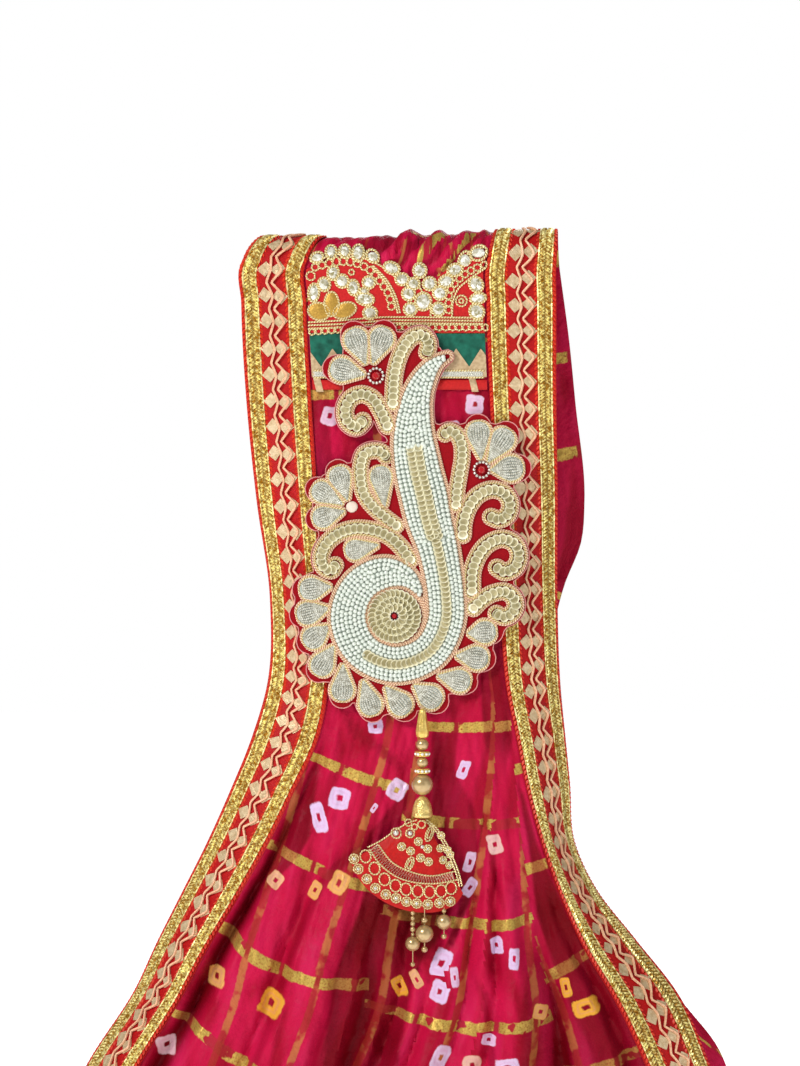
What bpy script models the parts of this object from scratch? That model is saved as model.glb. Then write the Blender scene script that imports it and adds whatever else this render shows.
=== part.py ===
"""A bandhani cloth hung over a support: front fall, fold and back fall in one piece, with lace
sewn down both long edges, an embroidered band and a green band across the top, a stiffened
paisley patch and a beaded tassel below it.

Metres, +Z up. +X is to the right and -Y towards the viewer. The origin is on the crest of the
fold, where the cloth is held.
"""

import math

import bmesh
import bpy
import numpy as np

MM = 0.001

# Driving sizes
FOLD_RADIUS = 15 * MM  # rounding of the cloth over what holds it, to the middle of the cloth
HEM_DROP = 600 * MM  # from the crest down to both hems
CLOTH_THICK = 1.2 * MM
LACE_WIDTH = 40 * MM
LACE_THICK = 1.2 * MM
BAND_THICK = 0.9 * MM
CLEARANCE = 0.3 * MM  # between pieces that are sewn face to face
PATCH_BACK = 18.4 * MM  # distance of the patch's back in front of the origin
PATCH_THICK = 1.5 * MM
FELT_MARGIN = 2.6 * MM  # felt left round the embroidery when the patch is cut out
FELT_BRIDGE = 4.2 * MM  # half the widest gap between two forms that the felt fills
SPIRAL_X = -5.2 * MM  # centre of the paisley's spiral
SPIRAL_DROP = 227.6 * MM
TASSEL_X = 11.5 * MM
TASSEL_DEPTH = 25.5 * MM  # distance of the tassel's line in front of the origin

# Outlines of the two falls, in millimetres: the drop below the crest, then where the outer
# edge and the seam of each lace stand, seen from the front.
FALL_COLUMNS = ("drop", "left_edge", "left_seam", "right_seam", "right_edge")
FRONT_FALL = (
    (0, -84, -46, 56, 94),
    (16, -97, -58, 50, 92),
    (40, -97, -58, 50, 92),
    (98, -94, -55, 52, 92),
    (158, -88, -51, 55, 93),
    (218, -80, -47, 58, 93),
    (272, -82, -45, 62, 95),
    (302, -91, -51, 68, 98),
    (332, -103, -65, 74, 101),
    (368, -119, -83, 84, 104),
    (398, -134, -100, 95, 118),
    (428, -149, -118, 109, 142),
    (458, -163, -134, 127, 166),
    (498, -189, -159, 146, 184),
    (600, -232, -196, 178, 216),
)
BACK_FALL = (
    (0, -84, -46, 56, 94),
    (16, -86, -47, 57, 96),
    (60, -86, -46, 62, 102),
    (98, -84, -44, 66, 106),
    (158, -78, -38, 72, 112),
    (184, -76, -36, 70, 110),
    (210, -75, -35, 60, 100),
    (240, -76, -36, 53, 93),
    (290, -84, -44, 52, 92),
    (340, -98, -58, 58, 98),
    (398, -122, -82, 78, 118),
    (440, -142, -100, 106, 148),
    (478, -161, -120, 138, 180),
    (498, -171, -130, 154, 196),
    (530, -186, -146, 168, 209),
    (600, -218, -178, 186, 226),
)

# Folds of the ground between the seams. The place is a share of the ground's width, at a drop
# of 340 mm and of 500 mm, the half width is a share too, and a valley has a height below 0.
FOLD_COLUMNS = ("upper", "lower", "half_width", "height_mm", "starts_mm")
UPPER_DROP = 340 * MM
LOWER_DROP = 500 * MM
FOLD_GROWTH = 170 * MM  # a fold reaches its full height this far below where it starts
FRONT_FOLDS = (
    (0.035, 0.030, 0.035, -13, 262),
    (0.150, 0.140, 0.055, 9, 330),
    (0.330, 0.290, 0.080, 17, 300),
    (0.480, 0.410, 0.060, -12, 345),
    (0.790, 0.560, 0.065, 21, 365),
    (0.890, 0.730, 0.070, 23, 325),
    (0.960, 0.825, 0.040, -13, 335),
    (0.970, 0.915, 0.040, 5, 360),
    (0.975, 0.980, 0.030, -11, 345),
)
BACK_FOLDS = (
    (0.060, 0.040, 0.035, -8, 250),
    (0.200, 0.150, 0.060, 16, 220),
    (0.340, 0.300, 0.050, -8, 260),
    (0.480, 0.440, 0.070, 20, 240),
    (0.640, 0.600, 0.050, -9, 280),
    (0.780, 0.760, 0.070, 19, 230),
    (0.930, 0.950, 0.040, -9, 250),
)
# How far each fall's ground swings out from the fold's plane, in millimetres by drop
SWING_COLUMNS = ("drop", "front", "back")
SWING = (
    (0, 0, 0),
    (120, 0, 8),
    (200, 0, 16),
    (300, 0, 25),
    (400, 1, 32),
    (500, 10, 40),
    (600, 17, 48),
)
# Bunched cloth on the crest: place across the ground, half width and height
CREST_BUNCHES = (
    (0.12, 0.05, 1.0),
    (0.33, 0.05, 2.2),
    (0.50, 0.06, 4.2),
    (0.66, 0.04, 3.0),
    (0.82, 0.04, 2.0),
    (0.95, 0.03, 2.6),
)
BUNCH_REACH = 20 * MM
CREST_RISE_RIGHT = 4 * MM  # the right end of the crest stands higher than the left

# Drops at which the falls have a row of points
FRONT_DROPS = (600, 575, 550, 525, 500, 478, 456, 436, 416, 398, 380, 362, 344, 326, 308, 290,
               270, 240, 205, 170, 135, 100, 80, 58, 40, 27)
BACK_DROPS = (40, 70, 100, 130, 160, 190, 218, 245, 272, 300, 330, 360, 390, 420, 450, 478,
              498, 515, 535, 560, 600)
RIDGE_STEPS = 8
CREST_CUT_DROP = 56  # in millimetres, under the bands
LACE_COLUMNS = 4
GROUND_COLUMNS = 29

# Bands across the top, each between two drops in millimetres
ARCH_BAND_FOOT = 58
ARCH_BAND_SPRING = 38  # where its arches meet
ARCH_BAND_CROWN = 13
GREEN_BAND = (59, 78)
TOOTH_TIP, TOOTH_VALLEY, TOOTH_FOOT = 67, 79, 84
TOOTH_COUNT = 6
PIPING_BAND = (85, 92)

# Embroidered forms of the patch, in millimetres from the spiral's centre, +Z up.
# Scrolls: half width, and the points that the middle runs through from the root to the tip.
SCROLLS = {
    "scroll_tall": (3.5, ((-0.9, 127), (-0.6, 134), (0.2, 144), (2.6, 154), (6.6, 162), (11.5, 167),
                          (16.6, 168), (19.9, 164.4), (20.4, 160.6), (19.4, 157.6))),
    "scroll_upper_left": (3.7, ((-4, 113.6), (-8.2, 122.8), (-13, 130), (-19.4, 132.6), (-26, 130),
                                (-29.4, 123), (-27.4, 115.6), (-22.6, 113.1), (-18.8, 116.6))),
    "scroll_loop_left": (3.3, ((1.2, 54), (-5.4, 59), (-12.6, 65.2), (-18.2, 73), (-20.1, 82),
                               (-19.9, 91), (-17.6, 97), (-12.4, 98.8), (-7.4, 98), (-5.2, 95.4))),
    "scroll_long_left": (3.6, ((9.4, 33.4), (4.2, 41), (-4.2, 48.2), (-14.9, 51.8), (-25.9, 51.9),
                               (-36, 47.6), (-42, 41), (-43.8, 34), (-41.6, 28.6), (-37.6, 27.2),
                               (-35.3, 30.4))),
    "scroll_upper_right": (3.3, ((36.9, 66.4), (37.6, 76), (39.2, 86), (40.6, 96), (39.9, 103.4),
                                 (36.8, 109), (32.6, 110.6), (30.2, 108.6))),
    "scroll_right_1": (3.7, ((40.9, 48.4), (41.3, 55), (44.6, 65.4), (50.6, 72.6), (58.6, 75.6),
                             (65.4, 73.6), (69.2, 67), (67.6, 60.6), (62.4, 57.6), (57.8, 59.2))),
    "scroll_right_2": (3.8, ((46.4, 14.8), (46.8, 27.4), (50.4, 36.6), (56.8, 43.6), (64.6, 46.2),
                             (71.6, 43.4), (74.5, 36), (71.6, 28.8), (65.6, 26.4), (61.4, 28.8))),
    "scroll_right_3": (3.6, ((47.2, 4.6), (52.8, 10), (59.6, 13.8), (66.2, 14.6), (71, 11.2),
                             (72.4, 6), (69.8, 1.2), (65, -0.6), (61, 1.4))),
}
# Petals: root, centre of the round end and its radius
PETAL_ROOT_RADIUS = 1.0
PETALS = {
    "petal_a1": (-17.4, 151.4, -22.8, 165.0, 6.6),
    "petal_a2": (-12.6, 151.8, -7.6, 165.6, 6.6),
    "petal_a3": (-18.6, 144.4, -31.3, 147.2, 6.6),
    "petal_b1": (-28.2, 70.2, -32.6, 83.0, 6.0),
    "petal_b2": (-31.6, 67.2, -43.2, 74.2, 5.8),
    "petal_b3": (-30.8, 62.6, -42.6, 59.0, 5.8),
    "petal_c1": (51.8, 94.6, 50.4, 109.4, 6.4),
    "petal_c2": (56.6, 92.8, 64.8, 105.4, 6.6),
    "petal_c3": (58.8, 87.4, 69.8, 88.2, 6.9),
    "petal_inner_1": (-5.9, 66.0, -8.0, 83.2, 5.9),
    "petal_inner_2": (-10.4, 42.4, -23.4, 39.6, 5.5),
    "petal_rim_01": (-38.6, 17.4, -49.8, 16.2, 6.3),
    "petal_rim_02": (-39.8, 4.6, -51.6, 1.6, 6.3),
    "petal_rim_03": (-39.4, -6.4, -48.2, -13.0, 6.1),
    "petal_rim_04": (-36.6, -18.6, -43.2, -29.2, 6.2),
    "petal_rim_05": (-30.6, -29.8, -31.0, -44.2, 6.1),
    "petal_rim_06": (-18.4, -39.4, -14.2, -52.8, 6.1),
    "petal_rim_07": (-4.6, -43.0, 3.8, -52.8, 6.3),
    "petal_rim_08": (12.4, -42.0, 21.8, -48.6, 6.5),
    "petal_rim_09": (27.0, -35.8, 39.0, -38.6, 6.1),
    "petal_rim_10": (37.8, -23.8, 49.4, -25.0, 6.4),
    "petal_rim_11": (44.8, -10.4, 54.2, -9.6, 6.2),
}
STONES = {
    "stone_a": (-11.0, 143.6, 4.6),
    "stone_b": (-25.4, 65.2, 3.6),
    "stone_c": (52.2, 87.4, 4.8),
    "stone_spiral": (0.0, 0.0, 2.8),
}
# The paisley's tail from its tip down: x, z and half width. Then the spiral turns clockwise
# round its centre: degrees from +X, radius and half width.
TAIL = ((31.8, 155.2, 1.5), (26.8, 152.6, 2.8), (21.8, 148, 4.6), (17.6, 141.5, 6.2), (14.3, 134, 7.5),
        (12.3, 125, 8.9), (11.3, 115, 10.4), (11.4, 105, 11.8), (12.7, 95, 12.7), (14.8, 84, 13.2),
        (17.6, 72.9, 13.5), (21, 57.6, 12.9), (25.6, 42.3, 11.6), (28.8, 27, 10.8), (30.8, 12, 10.5))
SPIRAL = ((2, 31, 10.4), (45, 30, 10.4), (90, 28.9, 10.4), (135, 28.2, 10.4), (180, 27.6, 10.4),
          (225, 27.2, 9.9), (262, 26.2, 8.7), (290, 24, 5.6), (308, 21.6, 3.2), (322, 19.9, 1.6))
DISC_RADIUS = 15.6
DISC_STONE_GAP = 0.4
FORM_HEIGHTS = {"body": 3.0, "scroll": 2.4, "petal": 2.4, "disc": 2.0, "stone": 3.4}

# The tassel's turned beads: drop of the top, height and greatest radius in millimetres, and
# the profile that they are turned to
BEAD_COLUMNS = ("top", "height", "radius", "profile")
BEADS = {
    "tassel_drop": (282.8, 17.4, 4.1, "pear"),
    "tassel_pearl_1": (300.5, 7.4, 3.8, "ball"),
    "tassel_rondelle_1": (308.2, 2.9, 4.4, "ring"),
    "tassel_pearl_2": (311.4, 6.6, 3.5, "ball"),
    "tassel_rondelle_2": (318.3, 2.9, 4.3, "ring"),
    "tassel_pearl_3": (321.5, 12.8, 6.4, "ball"),
    "tassel_cap": (334.6, 12.0, 6.2, "bell"),
}
# The tape that the tassel hangs from, as distances in front of the origin and drops
LOOP_PATH = ((21.0, 280.5), (21.6, 281.1), (23.4, 281.6), (26.2, 281.8))
LOOP_WIDTH, LOOP_THICK = 1.6 * MM, 0.7 * MM
FAN_CENTRE = 345.1  # drop of the point that the fan spreads from
FAN_RADIUS = 56.0
FAN_APEX_RADIUS = 3.5
FAN_LEFT_DEG, FAN_RIGHT_DEG = -56.0, 27.0
FAN_HALF_THICK = 4.4
# Strings under the fan: place across, drop of the top, distance in front, then radii of beads
STRINGS = {
    "string_left": (5.8, 402.3, 26.2, (1.7, 1.7, 1.7, 1.7, 1.7, 4.4, 1.5)),
    "string_middle": (12.8, 406.0, 27.6, (1.9, 5.4, 1.9)),
    "string_right": (24.6, 401.4, 26.6, (1.4, 4.6, 1.6)),
}
STRING_NECK = 0.5

COLOURS = {
    "bandhani silk": ((0.55, 0.012, 0.07), 0.5, 0.0),
    "red satin lace": ((0.62, 0.03, 0.02), 0.6, 0.1),
    "embroidered satin": ((0.6, 0.04, 0.04), 0.6, 0.2),
    "green silk": ((0.01, 0.11, 0.07), 0.5, 0.0),
    "gold tissue": ((0.72, 0.5, 0.28), 0.45, 0.6),
    "red felt": ((0.5, 0.01, 0.02), 0.9, 0.0),
    "pearl beads": ((0.8, 0.83, 0.78), 0.3, 0.0),
    "champagne sequins": ((0.72, 0.64, 0.42), 0.35, 0.4),
    "silver wire": ((0.7, 0.7, 0.66), 0.4, 0.7),
    "red crystal": ((0.5, 0.01, 0.02), 0.1, 0.0),
    "gold beads": ((0.75, 0.52, 0.2), 0.3, 0.8),
    "tassel satin": ((0.6, 0.03, 0.02), 0.6, 0.1),
}


def material(name):
    """The Principled material of that name, made once."""
    made = bpy.data.materials.get(name)
    if made:
        return made
    made = bpy.data.materials.new(name)
    made.use_nodes = True
    shader = made.node_tree.nodes["Principled BSDF"]
    colour, rough, metal = COLOURS[name]
    shader.inputs["Base Color"].default_value = (*colour, 1)
    shader.inputs["Roughness"].default_value = rough
    shader.inputs["Metallic"].default_value = metal
    return made


def column(rows, names, name):
    """One named column of a table, as an array."""
    return np.array([row[names.index(name)] for row in rows], float)


def eased(x, known_x, known_y):
    """A smooth curve through the known points: cubic between neighbours, level beyond the ends."""
    slopes = np.gradient(known_y, known_x)
    x = np.clip(x, known_x[0], known_x[-1])
    i = np.clip(np.searchsorted(known_x, x, side="right") - 1, 0, len(known_x) - 2)
    step = known_x[i + 1] - known_x[i]
    t = (x - known_x[i]) / step
    return (
        known_y[i] * (2 * t**3 - 3 * t**2 + 1)
        + slopes[i] * step * (t**3 - 2 * t**2 + t)
        + known_y[i + 1] * (3 * t**2 - 2 * t**3)
        + slopes[i + 1] * step * (t**3 - t**2)
    )


def ramp(x, low, high):
    """0 below low, 1 above high, and a smooth S between them."""
    t = np.clip((x - low) / (high - low), 0, 1)
    return t * t * (3 - 2 * t)


def fold_heights(across, drop, folds):
    """Height of the folds over the ground: each is a bell across, growing from where it starts."""
    total = np.zeros(np.broadcast(across, drop).shape)
    for upper, lower, half_width, height, starts in folds:
        share = (drop - UPPER_DROP) / (LOWER_DROP - UPPER_DROP)
        place = upper + (lower - upper) * np.clip(share, -0.4, 1.4)
        grown = ramp(drop, starts * MM, starts * MM + FOLD_GROWTH)
        total += height * MM * grown * np.exp(-(((across - place) / half_width) ** 2))
    hems = ramp(across, 0.0, 0.05) * ramp(1 - across, 0.0, 0.05)
    return total * hems


def fall_lines(drop, table):
    """The four lines of a fall at these drops."""
    known = column(table, FALL_COLUMNS, "drop") * MM
    return {name: eased(drop, known, column(table, FALL_COLUMNS, name) * MM) for name in FALL_COLUMNS[1:]}


def lace_recess(drop, side):
    """How far a lace's outer edge goes back in depth on the front fall: it keeps its width, so
    what the front view doesn't show of it is depth."""
    samples = np.linspace(0, HEM_DROP, 61)
    lines = fall_lines(samples, FRONT_FALL)
    lean = np.gradient(lines[f"{side}_edge"], samples)
    seen = np.abs(lines[f"{side}_edge"] - lines[f"{side}_seam"]) / np.sqrt(1 + lean**2)
    recess = np.sqrt(np.maximum(LACE_WIDTH**2 - seen**2, 0)) * ramp(samples, 30 * MM, 150 * MM)
    return np.interp(drop, samples, recess)


def cloth_points(across, station):
    """Middle of the cloth. Across is -1 to 0 over the left lace, 0 to 1 over the ground and 1 to
    2 over the right lace. Station is the way along the cloth from the crest, below 0 in front."""
    across = np.asarray(across, float)[None, :]
    station = np.asarray(station, float)[:, None]
    quarter = math.pi / 2 * FOLD_RADIUS
    length = np.abs(station)
    hanging = np.maximum(length - quarter, 0)
    drop = np.where(length < quarter, length * FOLD_RADIUS / quarter, hanging + FOLD_RADIUS)
    turn = np.clip(station / FOLD_RADIUS, -math.pi / 2, math.pi / 2)

    ground = np.clip(across, 0, 1)
    left = np.clip(-across, 0, 1)
    right = np.clip(across - 1, 0, 1)
    x = np.zeros(np.broadcast(across, station).shape)
    out = np.zeros_like(x)
    sides = ((station < 0, FRONT_FALL, FRONT_FOLDS, "front"), (station >= 0, BACK_FALL, BACK_FOLDS, "back"))
    for here, table, folds, name in sides:
        lines = fall_lines(drop, table)
        over = lines["left_seam"] + ground * (lines["right_seam"] - lines["left_seam"])
        over = over + left * (lines["left_edge"] - lines["left_seam"])
        over = over + right * (lines["right_edge"] - lines["right_seam"])
        swing = eased(drop, column(SWING, SWING_COLUMNS, "drop") * MM, column(SWING, SWING_COLUMNS, name) * MM)
        lift = swing + fold_heights(ground, drop, folds)
        if name == "front":
            lift -= left**1.3 * lace_recess(drop, "left") + right**1.3 * lace_recess(drop, "right")
        x = np.where(here, over, x)
        out = np.where(here, lift, out)

    near_crest = np.exp(-((station / BUNCH_REACH) ** 2))
    for place, half_width, height in CREST_BUNCHES:
        out = out + height * MM * near_crest * np.exp(-(((across - place) / half_width) ** 2))
    out = out + CREST_RISE_RIGHT * near_crest * ramp(across, 0.2, 1.2)

    y = FOLD_RADIUS * np.sin(turn) + out * np.sin(turn)
    z = FOLD_RADIUS * (np.cos(turn) - 1) - hanging + out * np.cos(turn)
    return np.stack([x, y + 0 * x, z + 0 * x], axis=-1)


def normals_of(points):
    """Unit normals of a grid of points, pointing away from the gap between the falls."""
    along = np.gradient(points, axis=0)
    over = np.gradient(points, axis=1)
    normal = np.cross(over, along)
    return normal / np.linalg.norm(normal, axis=-1, keepdims=True)


def add_object(name, points, faces, material_name):
    """An object from points and faces, with its normals made to point outwards."""
    mesh = bpy.data.meshes.new(name)
    mesh.from_pydata([tuple(p) for p in points], [], faces)
    tidy = bmesh.new()
    tidy.from_mesh(mesh)
    bmesh.ops.recalc_face_normals(tidy, faces=tidy.faces)
    tidy.to_mesh(mesh)
    tidy.free()
    mesh.materials.append(material(material_name))
    obj = bpy.data.objects.new(name, mesh)
    bpy.context.scene.collection.objects.link(obj)
    mesh.shade_smooth()
    mesh.set_sharp_from_angle(angle=math.radians(50))
    return obj


def layer_solid(name, points, normals, low, high, material_name):
    """A closed solid between two offsets of a grid of points along its normals."""
    rows, columns = points.shape[:2]
    both = np.concatenate([(points + normals * low).reshape(-1, 3), (points + normals * high).reshape(-1, 3)])
    index = np.arange(rows * columns).reshape(rows, columns)
    top = rows * columns
    a, b, c, d = index[:-1, :-1], index[:-1, 1:], index[1:, 1:], index[1:, :-1]
    under = np.stack([a, b, c, d], -1).reshape(-1, 4)
    over = under[:, [0, 3, 2, 1]] + top  # split along the same diagonals as the faces under it
    faces = [tuple(f) for f in np.concatenate([under, over]).tolist()]
    rim = np.concatenate([index[0, :], index[1:, -1], index[-1, -2::-1], index[-2:0:-1, 0]])
    for first, second in zip(rim, np.roll(rim, -1)):
        faces.append((int(first), int(first + top), int(second + top), int(second)))
    return add_object(name, both, faces, material_name)


def station_of(drop_mm):
    """The way along the cloth from the crest to this drop on a fall."""
    return drop_mm * MM - FOLD_RADIUS + math.pi / 2 * FOLD_RADIUS


def cloth_grid():
    """The stations and the places across at which the cloth and its laces have points."""
    front = [-station_of(drop) for drop in FRONT_DROPS]
    back = [station_of(drop) for drop in BACK_DROPS]
    quarter = math.pi / 2 * FOLD_RADIUS
    ridge = list(np.linspace(-quarter, quarter, RIDGE_STEPS + 1))
    lace = np.linspace(0, 1, LACE_COLUMNS)
    even = np.linspace(0, 1, GROUND_COLUMNS)
    ground = 0.55 * even + 0.45 * (1 - np.cos(math.pi * even)) / 2  # closer together by the seams
    across = np.concatenate([lace[:-1] - 1, ground, lace[1:] + 1])
    return np.array(front + ridge + back), across


def make_cloth():
    """The silk, and the two laces that are sewn down its long edges. The silk is one length, but
    its falls and its crest are solids of their own, so that each keeps clear of the gap
    between the falls."""
    station, across = cloth_grid()
    half = CLOTH_THICK / 2
    cut, gap = station_of(CREST_CUT_DROP), CLEARANCE / 2
    parts = (
        ("cloth_front", station[0], -cut - gap),
        ("cloth_crest", -cut + gap, cut - gap),
        ("cloth_back", cut + gap, station[-1]),
    )
    for name, first, last in parts:
        own = np.concatenate([[first], station[(station > first + MM) & (station < last - MM)], [last]])
        points = cloth_points(across, own)
        layer_solid(name, points, normals_of(points), -half, half, "bandhani silk")
    points = cloth_points(across, station)
    normals = normals_of(points)
    low = half + CLEARANCE
    for name, picked in (("lace_left", across <= 0), ("lace_right", across >= 1)):
        layer_solid(name, points[:, picked], normals[:, picked], low, low + LACE_THICK, "red satin lace")


def band_solid(name, foot, head, across, rows, material_name):
    """A band across the front between two drops, which may vary across it."""
    foot = np.broadcast_to(foot, across.shape)
    head = np.broadcast_to(head, across.shape)
    share = np.linspace(0, 1, rows)[:, None]
    drops = foot + (head - foot) * share
    points = np.empty((rows, len(across), 3))
    normals = np.empty_like(points)
    nudge = 0.4 * MM
    for i, place in enumerate(across):
        quarter = math.pi / 2 * FOLD_RADIUS
        on_ridge = drops[:, i] * MM < FOLD_RADIUS
        station = np.where(on_ridge, drops[:, i] * MM * quarter / FOLD_RADIUS, station_of(drops[:, i]))
        points[:, i] = cloth_points([place], -station)[:, 0]
        above = cloth_points([place], -station + nudge)[:, 0] - points[:, i]
        beside = cloth_points([place + 0.002], -station)[:, 0] - points[:, i]
        normal = np.cross(beside, above)
        normals[:, i] = normal / np.linalg.norm(normal, axis=-1, keepdims=True)
    low = CLOTH_THICK / 2 + 2 * CLEARANCE
    return layer_solid(name, points, normals, low, low + BAND_THICK, material_name)


def make_bands():
    """The embroidered band with its arches, the green band, the toothed gold tissue and the
    piping, from the crest down."""
    across = np.linspace(0.012, 0.988, 25)
    # two arches spring from the middle of the band: a whole one at the left, half of one at the right
    left_arch = np.sqrt(np.maximum(1 - ((across - 0.24) / 0.33) ** 2, 0))
    right_arch = np.sqrt(np.maximum(1 - ((across - 1.02) / 0.33) ** 2, 0))
    rise = np.maximum(np.maximum(left_arch, right_arch), 0.25)
    head = ARCH_BAND_SPRING - (ARCH_BAND_SPRING - ARCH_BAND_CROWN) * rise
    band_solid("band_arches", ARCH_BAND_FOOT, head, across, 6, "embroidered satin")
    valley = TOOTH_VALLEY - 0.6
    phase = (across * TOOTH_COUNT) % 1
    teeth = TOOTH_VALLEY + (TOOTH_TIP - TOOTH_VALLEY) * (1 - np.abs(2 * phase - 1))
    band_solid("band_green", np.minimum(teeth - 0.6, valley), GREEN_BAND[0], across, 3, "green silk")
    band_solid("band_teeth", TOOTH_FOOT, teeth, across, 3, "gold tissue")
    band_solid("band_piping", PIPING_BAND[1], PIPING_BAND[0], across, 2, "embroidered satin")


def smooth_line(points, count):
    """A smooth line of that many points through all the given ones, evenly spaced."""
    points = np.array(points, float)
    steps = np.linalg.norm(np.diff(points[:, :2], axis=0), axis=1)
    along = np.concatenate([[0], np.cumsum(steps)])
    share = np.linspace(0, along[-1], count)
    return np.stack([eased(share, along, values) for values in points.T], -1)


def scroll_line(half_width, points):
    """A scroll's centre line and half widths."""
    line = smooth_line(points, 19)
    return line, np.full(len(line), half_width)


def petal_line(root_x, root_z, end_x, end_z, radius):
    """A petal's centre line and half widths: the outline that wraps a small and a large circle."""
    root, end = np.array((root_x, root_z)), np.array((end_x, end_z))
    length = np.linalg.norm(end - root)
    share = np.linspace(0, 1, 21)
    discs = PETAL_ROOT_RADIUS + (radius - PETAL_ROOT_RADIUS) * share
    along = np.concatenate([np.linspace(0, length, 5), length + radius * np.array([0.55, 0.88])])
    reach = discs[None, :] ** 2 - (along[:, None] - share[None, :] * length) ** 2
    widths = np.sqrt(np.maximum(reach, 0)).max(axis=1)
    return root + (end - root) / length * along[:, None], widths


def body_line():
    """The paisley's centre line and half widths, down the tail and round the spiral."""
    turns = [(r * math.cos(math.radians(a)), -r * math.sin(math.radians(a)), w) for a, r, w in SPIRAL]
    line = smooth_line(TAIL + tuple(turns), 46)
    return line[:, :2], line[:, 2]


def forms():
    """Every embroidered form of the patch: name, kind, centre line and half widths."""
    made = [("paisley_body", "body", *body_line())]
    for name, row in SCROLLS.items():
        made.append((name, "scroll", *scroll_line(*row)))
    for name, row in PETALS.items():
        made.append((name, "petal", *petal_line(*row)))
    return made


def rounded(line, widths):
    """The line run on at both ends, with widths that close in a round end."""
    def cap(point, inner, width):
        out = (point - inner) / np.linalg.norm(point - inner)
        return [(point + out * width * s, width * c) for s, c in ((0.6, 0.8), (0.92, 0.39))]

    start = cap(line[0], line[1], widths[0])[::-1]
    stop = cap(line[-1], line[-2], widths[-1])
    ends = ([q for q, _ in start], [w for _, w in start]), ([q for q, _ in stop], [w for _, w in stop])
    return np.concatenate([ends[0][0], line, ends[1][0]]), np.concatenate([ends[0][1], widths, ends[1][1]])


def on_patch(points, heights):
    """Points of the patch's plane, in millimetres from the spiral, set at heights above the felt."""
    front = -(PATCH_BACK + PATCH_THICK + CLEARANCE)
    x = SPIRAL_X + points[..., 0] * MM
    y = front - heights * MM
    z = -SPIRAL_DROP + points[..., 1] * MM
    return np.stack([x, np.broadcast_to(y, x.shape), z], -1)


def raised_form(name, line, widths, height, material_name):
    """A padded strip on the patch: a flat foot and a rounded back, swept along the line."""
    section = np.array([(-1, 0), (-0.72, 0.72), (0, 1), (0.72, 0.72), (1, 0)])
    heading = np.gradient(line, axis=0)
    heading /= np.linalg.norm(heading, axis=1, keepdims=True)
    side = np.stack([-heading[:, 1], heading[:, 0]], -1)
    flat = line[:, None] + side[:, None] * (section[None, :, :1] * widths[:, None, None])
    low = np.minimum(widths / max(widths.max(), 1e-6) * 1.4, 1)[:, None]
    points = on_patch(flat, section[None, :, 1] * height * low)
    rings, corners = points.shape[:2]
    faces = []
    for i in range(rings - 1):
        for j in range(corners):
            k = (j + 1) % corners
            faces.append((i * corners + j, i * corners + k, (i + 1) * corners + k, (i + 1) * corners + j))
    faces.append(tuple(range(corners)))
    faces.append(tuple(range((rings - 1) * corners, rings * corners)))
    return add_object(name, points.reshape(-1, 3), faces, material_name)


def dome(name, centre, radius, height, material_name, sides=12):
    """A low round form on the patch, with a flat foot."""
    angle = np.arange(sides) * 2 * math.pi / sides
    circle = np.stack([np.cos(angle), np.sin(angle)], -1)
    rings = [on_patch(np.array(centre) + circle * radius * r, np.array(h * height)) for r, h in ((1, 0), (0.9, 0.6), (0.5, 1))]
    points = np.concatenate(rings)
    faces = [tuple(range(sides)), tuple(range(2 * sides, 3 * sides))]
    for ring in range(2):
        for j in range(sides):
            k = (j + 1) % sides
            a, b = ring * sides, (ring + 1) * sides
            faces.append((a + j, a + k, b + k, b + j))
    return add_object(name, points, faces, material_name)


def felt_level(x, z, groups):
    """Below 0 on the felt: within its margin of a form, or in a gap between two forms. Groups
    hold rows of x, z and radius along each form."""
    away = [(np.hypot(x[..., None] - g[:, 0], z[..., None] - g[:, 1]) - g[:, 2]).min(axis=-1) for g in groups]
    nearest = np.sort(np.stack(away), axis=0)
    return np.minimum(nearest[0] - FELT_MARGIN / MM, (nearest[0] + nearest[1]) / 2 - FELT_BRIDGE / MM)


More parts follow.
